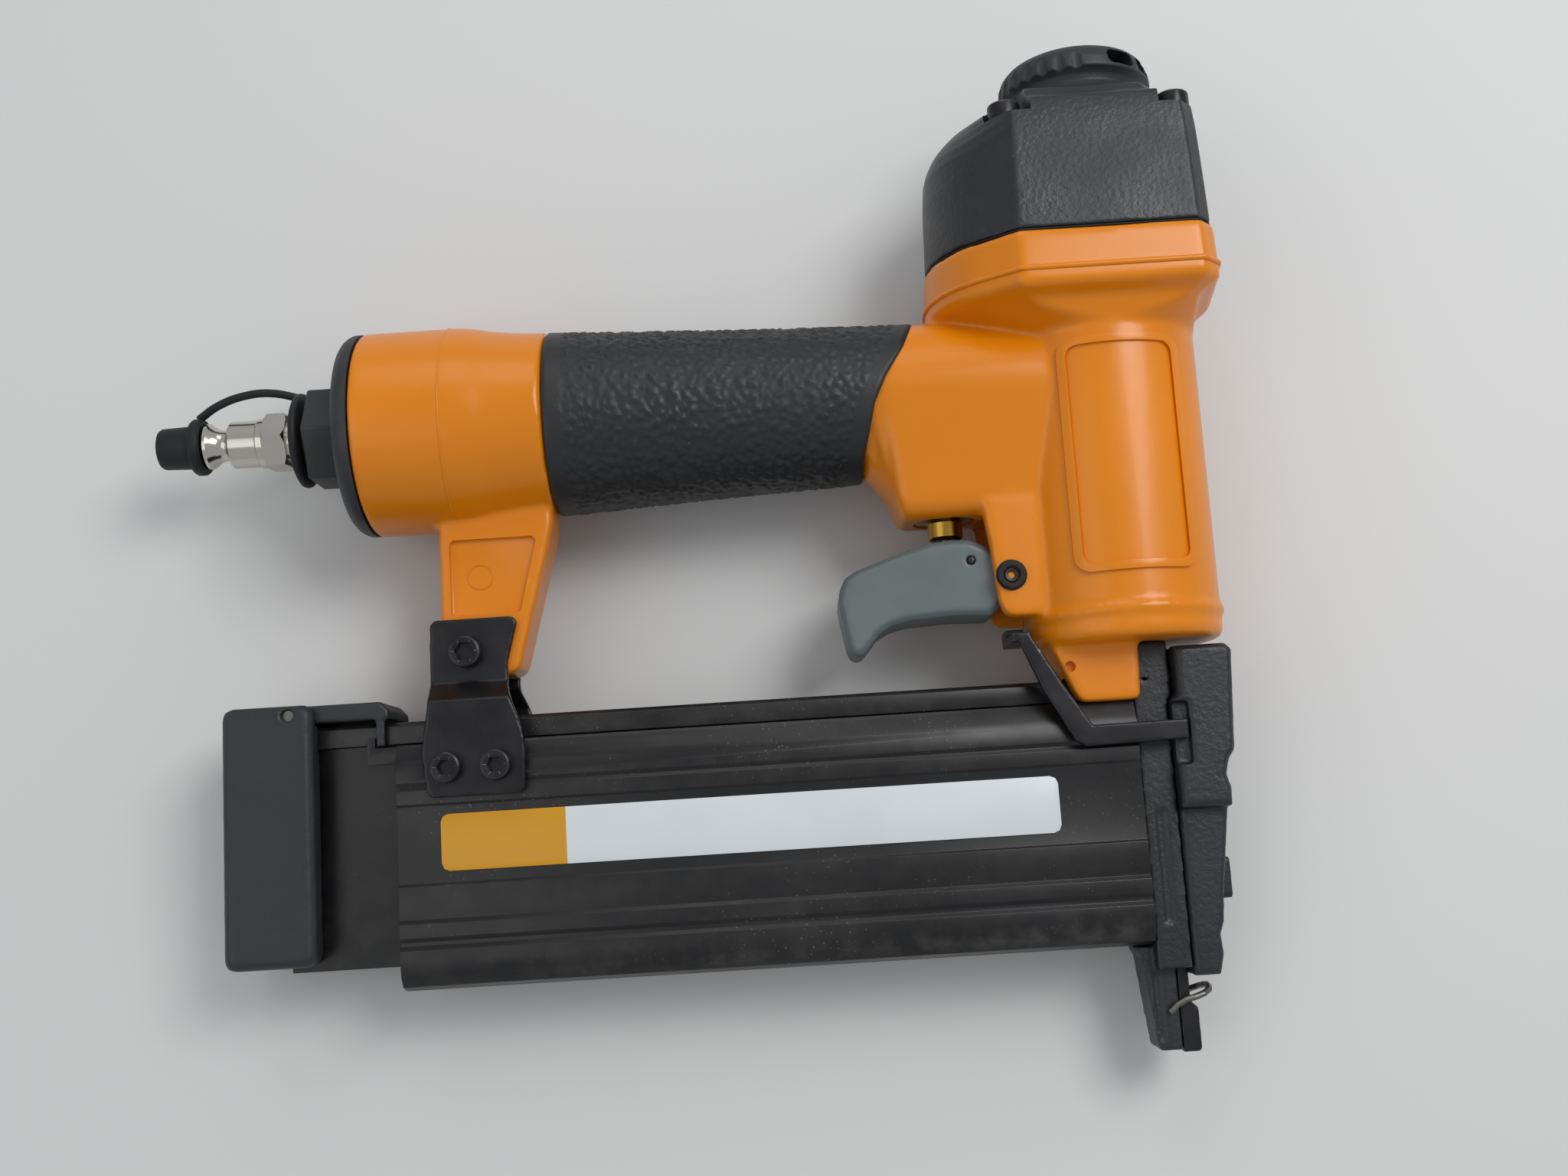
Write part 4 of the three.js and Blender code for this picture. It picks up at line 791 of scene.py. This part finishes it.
def build_deflector():
    """A low hood with scallops round its rear half and ports round its front"""
    base = HOOD_BASE
    scallops, first_scallop, scallop_step, scallop_ring = 14, 97, 12.77, 21.9
    port_half, port_corner = 2.5, 1.8
    bm = bmesh.new()
    turned(bm, [
        (base, 16.6), (base, 19.6), (base + 0.5, 19.8), (base + 1.6, 19), (base + 3, 18.4), (base + 4.6, 19),
        (base + 5.6, 20), (base + 6, 20.6), (base + 6.6, 20.7), (base + 9, 20.4), (base + 11, 19.6),
        (base + 12.4, 18.4), (base + 13.3, 16.8), (base + 13.7, 15), (base + 13.7, 5.6), (base + 13.4, 5.2),
        (base + 10.4, 5), (base + 10.4, 2.4), (base + 8.6, 2.4), (base + 8.6, 4.6), (base, 4.6), (base, 5.2),
        (base + 10.9, 5.9), (base + 10.9, 15), (base + 10, 16.2), (base, 16.6),
    ], "z", (0, 0), 120)
    deflector = object_from(bm, "exhaust_deflector_hood")
    scallop = [(base + 4.8, 0), (base + 4.8, 1.9), (base + 15, 2.4), (base + 15, 0)]
    cutters = []
    for i in range(scallops):
        angle = math.radians(first_scallop + scallop_step * i)
        spot = (scallop_ring * math.cos(angle), scallop_ring * math.sin(angle))
        cutters.append(lambda m, s=spot: turned(m, scallop, "z", s, 24))
    carved(deflector, cutters)

    def port(m, degrees):
        """A slot with round ends through the hood's wall"""
        inner = bmesh.new()
        outline = []
        for cu, cv, start in ((port_half, base + 8.7, -90), (port_half, base + 9.3, 0),
                              (-port_half, base + 9.3, 90), (-port_half, base + 8.7, 180)):
            outline += [(cu + port_corner * math.cos(math.radians(start + a)),
                         cv + port_corner * math.sin(math.radians(start + a))) for a in range(0, 91, 18)]
        prism(inner, outline, "x", 10, 26)
        bmesh.ops.rotate(inner, cent=(0, 0, 0), matrix=Matrix.Rotation(math.radians(degrees), 3, "Z"),
                         verts=inner.verts)
        spare = mesh_from(inner, "spare")
        m.from_mesh(spare)
        bpy.data.meshes.remove(spare)

    carved(deflector, [lambda m, d=degrees: port(m, d) for degrees in (-60, -30, 0, 30, 60)])
    fused(deflector, 0.28, 3)
    hand_over(deflector, "exhaust_deflector", "blackPlastic", "exhaust_deflector", angle=50)


build_deflector()


# ---------------------------------------------------------------- handle end: cap, plug, dust cap, tether
def hexagon(radius, centre):
    """Six corners round a centre"""
    return [(centre[0] + radius * math.cos(i * math.pi / 3), centre[1] + radius * math.sin(i * math.pi / 3))
            for i in range(6)]


def build_end_cap():
    """The disc that closes the handle, with its hexagonal hub and bore"""
    outer = HANDLE_END - 0.1
    bm = bmesh.new()
    turned(bm, [
        (outer - 4.7, 0), (outer - 4.7, 24), (outer - 4.4, 24.9), (outer - 3.6, 25.9), (outer - 2.6, 26.6),
        (outer - 1.6, 27), (outer, 27), (outer, 22.6), (outer + 7.4, 22.6), (outer + 7.4, 0),
    ], "x", HANDLE_AXIS, 128)
    end_cap = object_from(bm, "handle_end_disc")
    bm = bmesh.new()
    prism(bm, hexagon(14, HANDLE_AXIS), "x", HUB_END, outer - 4, 0.8, 3)
    combined(end_cap, "UNION", object_from(bm, "hub"))
    bore = [(HUB_END - 1, 0), (HUB_END - 1, 6.7), (HUB_END + 0.6, 6.1), (outer + 9, 6.1), (outer + 9, 0)]
    carved(end_cap, [lambda m: turned(m, bore, "x", HANDLE_AXIS, 64)])
    hand_over(end_cap, "tool_body", "blackPlastic", "handle_end_cap", angle=38)


def build_plug():
    """Air plug: nipple, chamfered hexagon and the thread that shows at the hub"""
    p = PLUG_HEX
    thread_start, turns, half_pitch, crest, thread_depth = HUB_END - 0.6, 18, 0.45, 5.75, 0.35
    thread = [(thread_start + k * half_pitch, crest - (k % 2) * thread_depth) for k in range(1, turns)]
    bm = bmesh.new()
    turned(bm, [
        (p - 33.6, 3.2), (p - 33.6, 4.4), (p - 33.2, 4.8), (p - 23.8, 4.9), (p - 22.8, 5.6), (p - 22.1, 6.1),
        (p - 21.3, 6.1), (p - 20.4, 5.5), (p - 19.4, 4.7), (p - 18.2, 4.2), (p - 17.2, 4.1), (p - 16.6, 4.3),
        (p - 16, 5.2), (p - 15.6, 6.1), (p - 15.3, 6.3), (p - 8.2, 6.3), (p - 7.8, 6.7), (p - 6.1, 6.8),
        (p, 5.9), (thread_start, 5.8),
    ] + thread + [(HUB_END + 8, 5.6), (HUB_END + 8, 3.2), (p - 33.6, 3.2)], "x", HANDLE_AXIS, 72)
    plug = object_from(bm, "air_plug_body")
    bm = bmesh.new()
    prism(bm, hexagon(8.1, HANDLE_AXIS), "x", p - 6.1, p)
    nut = object_from(bm, "nut")
    bm = bmesh.new()
    turned(bm, [(p - 6.3, 0), (p - 6.3, 7), (p - 5.2, 8.3), (p - 0.9, 8.3), (p + 0.2, 7), (p + 0.2, 0)],
           "x", HANDLE_AXIS, 64)
    combined(nut, "INTERSECT", object_from(bm, "dome"))
    combined(plug, "UNION", nut)
    hand_over(plug, "tool_body", "nickel", "air_plug", angle=30)


def build_dust_cap():
    """Rubber cap over the plug, its ring on the hub and the strap between them"""
    d = PLUG_HEX - 22.8
    bm = bmesh.new()
    turned(bm, [
        (d - 12.2, 0), (d - 12.2, 4.4), (d - 11.9, 5.1), (d - 11.2, 5.5), (d - 3.6, 5.8), (d - 3.2, 6.4),
        (d - 3, 7.2), (d - 2.4, 7.6), (d - 0.8, 7.6), (d - 0.2, 7.2), (d, 6.8), (d, 6.3), (d - 0.8, 5.1),
        (d - 11.1, 5.1), (d - 11.1, 0),
    ], "x", HANDLE_AXIS, 72)
    hand_over(object_from(bm, "dust_cap_rubber"), "dust_cap", "rubber", "dust_cap", angle=40)

    s = HUB_END - 2.6
    bm = bmesh.new()
    turned(bm, [(s - 1.1, 6.1), (s - 1.1, 11.8), (s - 0.7, 12.5), (s, 12.7), (s + 0.7, 12.5), (s + 1.1, 11.8),
                (s + 1.1, 6.1), (s - 1.1, 6.1)], "x", HANDLE_AXIS, 72)
    hand_over(object_from(bm, "tether_ring"), "tool_body", "rubber", angle=50)

    path = bpy.data.curves.new("tether_path", "CURVE")
    path.dimensions, path.bevel_depth, path.bevel_resolution, path.resolution_u = "3D", 0.0011, 4, 10
    path.use_fill_caps = True
    points = [(d - 1.6, -1, HANDLE_Z + 7.5), (d + 4, -2.6, HANDLE_Z + 10.4), (d + 12, -3.4, HANDLE_Z + 12.6),
              (s - 8, -2.6, HANDLE_Z + 13), (s, -0.6, HANDLE_Z + 11.4)]
    spline = path.splines.new("BEZIER")
    spline.bezier_points.add(len(points) - 1)
    for knot, place in zip(spline.bezier_points, points):
        knot.co = TOOL @ Vector(place)
        knot.handle_left_type = knot.handle_right_type = "AUTO"
    strap = tube_of(path, "tether_strap")
    dressed(strap, "rubber", "dust_cap_tether", angle=60)
    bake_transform(strap)


build_end_cap()
build_plug()
build_dust_cap()
# ---------------------------------------------------------------- screws and the pivot pin
KNURL_DEPTH = 0.012           # as a share of the radius
SOCKET_DEPTH = 2.4


def socket_screw(node_name, place, outward, radius, height, socket, knurled=False):
    """Cap screw head: knurled or plain side, rounded rim, bevelled hexagonal socket"""
    steps = 96
    bm = bmesh.new()
    turned(bm, [(-0.6, 0), (-0.6, radius - 0.5), (0, radius - 0.05), (0.2, radius), (height - 0.8, radius),
                (height - 0.35, radius - 0.12), (height - 0.08, radius - 0.42), (height, radius - 0.8),
                (height, socket + 0.55), (height - 0.3, socket + 0.15), (height - 0.3, 0)],
           "z", (0, 0), steps)
    if knurled:
        for vert in bm.verts:
            reach = math.hypot(vert.co.x, vert.co.y)
            if 0.1 < vert.co.z < height - 0.7 and reach > radius - 0.05:
                step = round(math.atan2(vert.co.y, vert.co.x) / (2 * math.pi / steps))
                wave = 1 - KNURL_DEPTH * (step % 2)
                vert.co.x, vert.co.y = vert.co.x * wave, vert.co.y * wave
    turn = Vector(outward).to_track_quat("Z", "Y").to_matrix().to_4x4()
    stand = Matrix.Translation(place) @ turn
    bmesh.ops.transform(bm, matrix=stand, verts=bm.verts)
    screw = object_from(bm, node_name + "_head")
    hexagonal = bmesh.new()
    prism(hexagonal, hexagon(socket * 1.1, (0, 0)), "z", height - SOCKET_DEPTH, height + 1)
    bmesh.ops.transform(hexagonal, matrix=stand, verts=hexagonal.verts)
    combined(screw, "DIFFERENCE", object_from(hexagonal, "socket"))
    hand_over(screw, "tool_body", "blackSteel", node_name, angle=32)


for number, (x, y) in enumerate(SCREW_SPOTS, 1):
    socket_screw(f"cap_screw_{number}", (x, y, SCREW_SEAT), (0, 0, 1), 4.3, 5.2, 2.4, True)
bracket_spots = [(x, side) for side in (-1, 1) for x in (-175.5, -163)]
for number, (x, side) in enumerate(bracket_spots, 1):
    socket_screw(f"bracket_screw_{number}", (x, side * (FLANK + 2.2), 81.7), (0, side, 0), 3.9, 3, 1.9)
socket_screw("bracket_bolt", (-170.5, -10.2, 111), (0, -1, 0), 4.1, 3.8, 2.4)
for number, y in enumerate((-7.4, 7.4), 1):
    socket_screw(f"cover_screw_{number}", (20.1, y, 94), (1, 0, 0), 4.1, 3.6, 2)


def build_pivot_pin():
    """Hollow-ended pin through the ears"""
    end = 14.6
    half = [(end - 1.6, 0), (end - 1.6, 0.7), (end - 0.1, 0.9), (end, 1.1), (end, 1.7), (end - 0.3, 2)]
    bm = bmesh.new()
    turned(bm, [(-y, radius) for y, radius in half] + half[::-1], "y", PIVOT, 40)
    hand_over(object_from(bm, "pivot_pin_ends"), "tool_body", "steel", "trigger_pivot_pin", angle=35,
              material=OILED_STEEL)


build_pivot_pin()


# ---------------------------------------------------------------- pieces made from the frame's own shapes
BODY_OF = {n: body for body, members in frame["record"]["behaviour"]["bodies"].items() for n in members}
# node, voxel size, rounds of smoothing
CAST_PIECES = (
    ("trigger", 0.42, 6), ("front_cover", 0.5, 4), ("nose_body", 0.5, 2), ("magazine_end_cap", 0.7, 3),
    ("latch_lever", 0.45, 3), ("trip_link", 0.3, 4), ("pin_grommet_near", 0.2, 3),
    ("pin_grommet_far", 0.2, 3), ("nose_clip", 0.22, 5), ("driver_guide", 0.35, 2),
    ("bracket_near", 0.42, 8), ("bracket_far", 0.42, 8),
)
# node, bevel width
CUT_PIECES = (
    ("magazine_channel", 0.15), ("magazine_rail", 0.2), ("bracket_nut", 0.3), ("deflector_screw", 0.25),
    ("lever_pin", 0.2), ("valve_body", 0.2), ("valve_stem", 0.15), ("label_plate", 0.1),
    ("trigger_lever", 0.2),
)
for node_name, voxel, rounds in CAST_PIECES:
    refined(node_name, BODY_OF[node_name], voxel=voxel, rounds=rounds, angle=50)
for node_name, width in CUT_PIECES:
    refined(node_name, BODY_OF[node_name], bevel=width)

def bend_spring(node_name):
    """The spring's own coil, as one skin copied from its CAD node, which is hidden"""
    name = node_name + "_coil"
    mesh = mesh_from(merged_copy(node_name), name)
    coil = linked(name, mesh)
    dressed(coil, "steel", node_name, angle=60)
    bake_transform(coil)


bend_spring("head_valve_spring")
bend_spring("valve_spring")
bend_spring("latch_spring")
bend_spring("pusher_spring")


# ---------------------------------------------------------------- stage and light
def build_stage():
    """A pale floor, an even room and three soft lamps"""
    bm = bmesh.new()
    bmesh.ops.create_grid(bm, x_segments=1, y_segments=1, size=6)
    floor = linked("floor", mesh_from(bm, "floor"))
    material = bpy.data.materials.new("pale_floor")
    material.use_nodes = True
    shader = material.node_tree.nodes["Principled BSDF"]
    shader.inputs["Base Color"].default_value = linear(214, 214, 213)
    shader.inputs["Roughness"].default_value = 0.6
    floor.data.materials.append(material)

    world = bpy.data.worlds.new("room")
    world.use_nodes = True
    background = world.node_tree.nodes["Background"]
    background.inputs["Color"].default_value = (0.95, 0.97, 1, 1)
    background.inputs["Strength"].default_value = 0.46
    bpy.context.scene.world = world
    aim = Vector((0, 0, 0.02))
    # name, place, side in metres, watts
    lamps = (
        ("key", (0.55, 0.35, 0.95), 0.5, 5.4),
        ("fill", (-0.8, -0.2, 1.0), 0.9, 1.9),
        ("back", (-0.1, 0.95, 0.8), 0.6, 1.5),
    )
    for name, place, size, power in lamps:
        light = bpy.data.lights.new(name, "AREA")
        light.size, light.energy = size, power
        lamp = linked(name, light)
        lamp.location = place
        lamp.rotation_euler = (aim - Vector(place)).to_track_quat("-Z", "Y").to_euler()
    bpy.context.scene.view_settings.view_transform = "Standard"


build_stage()
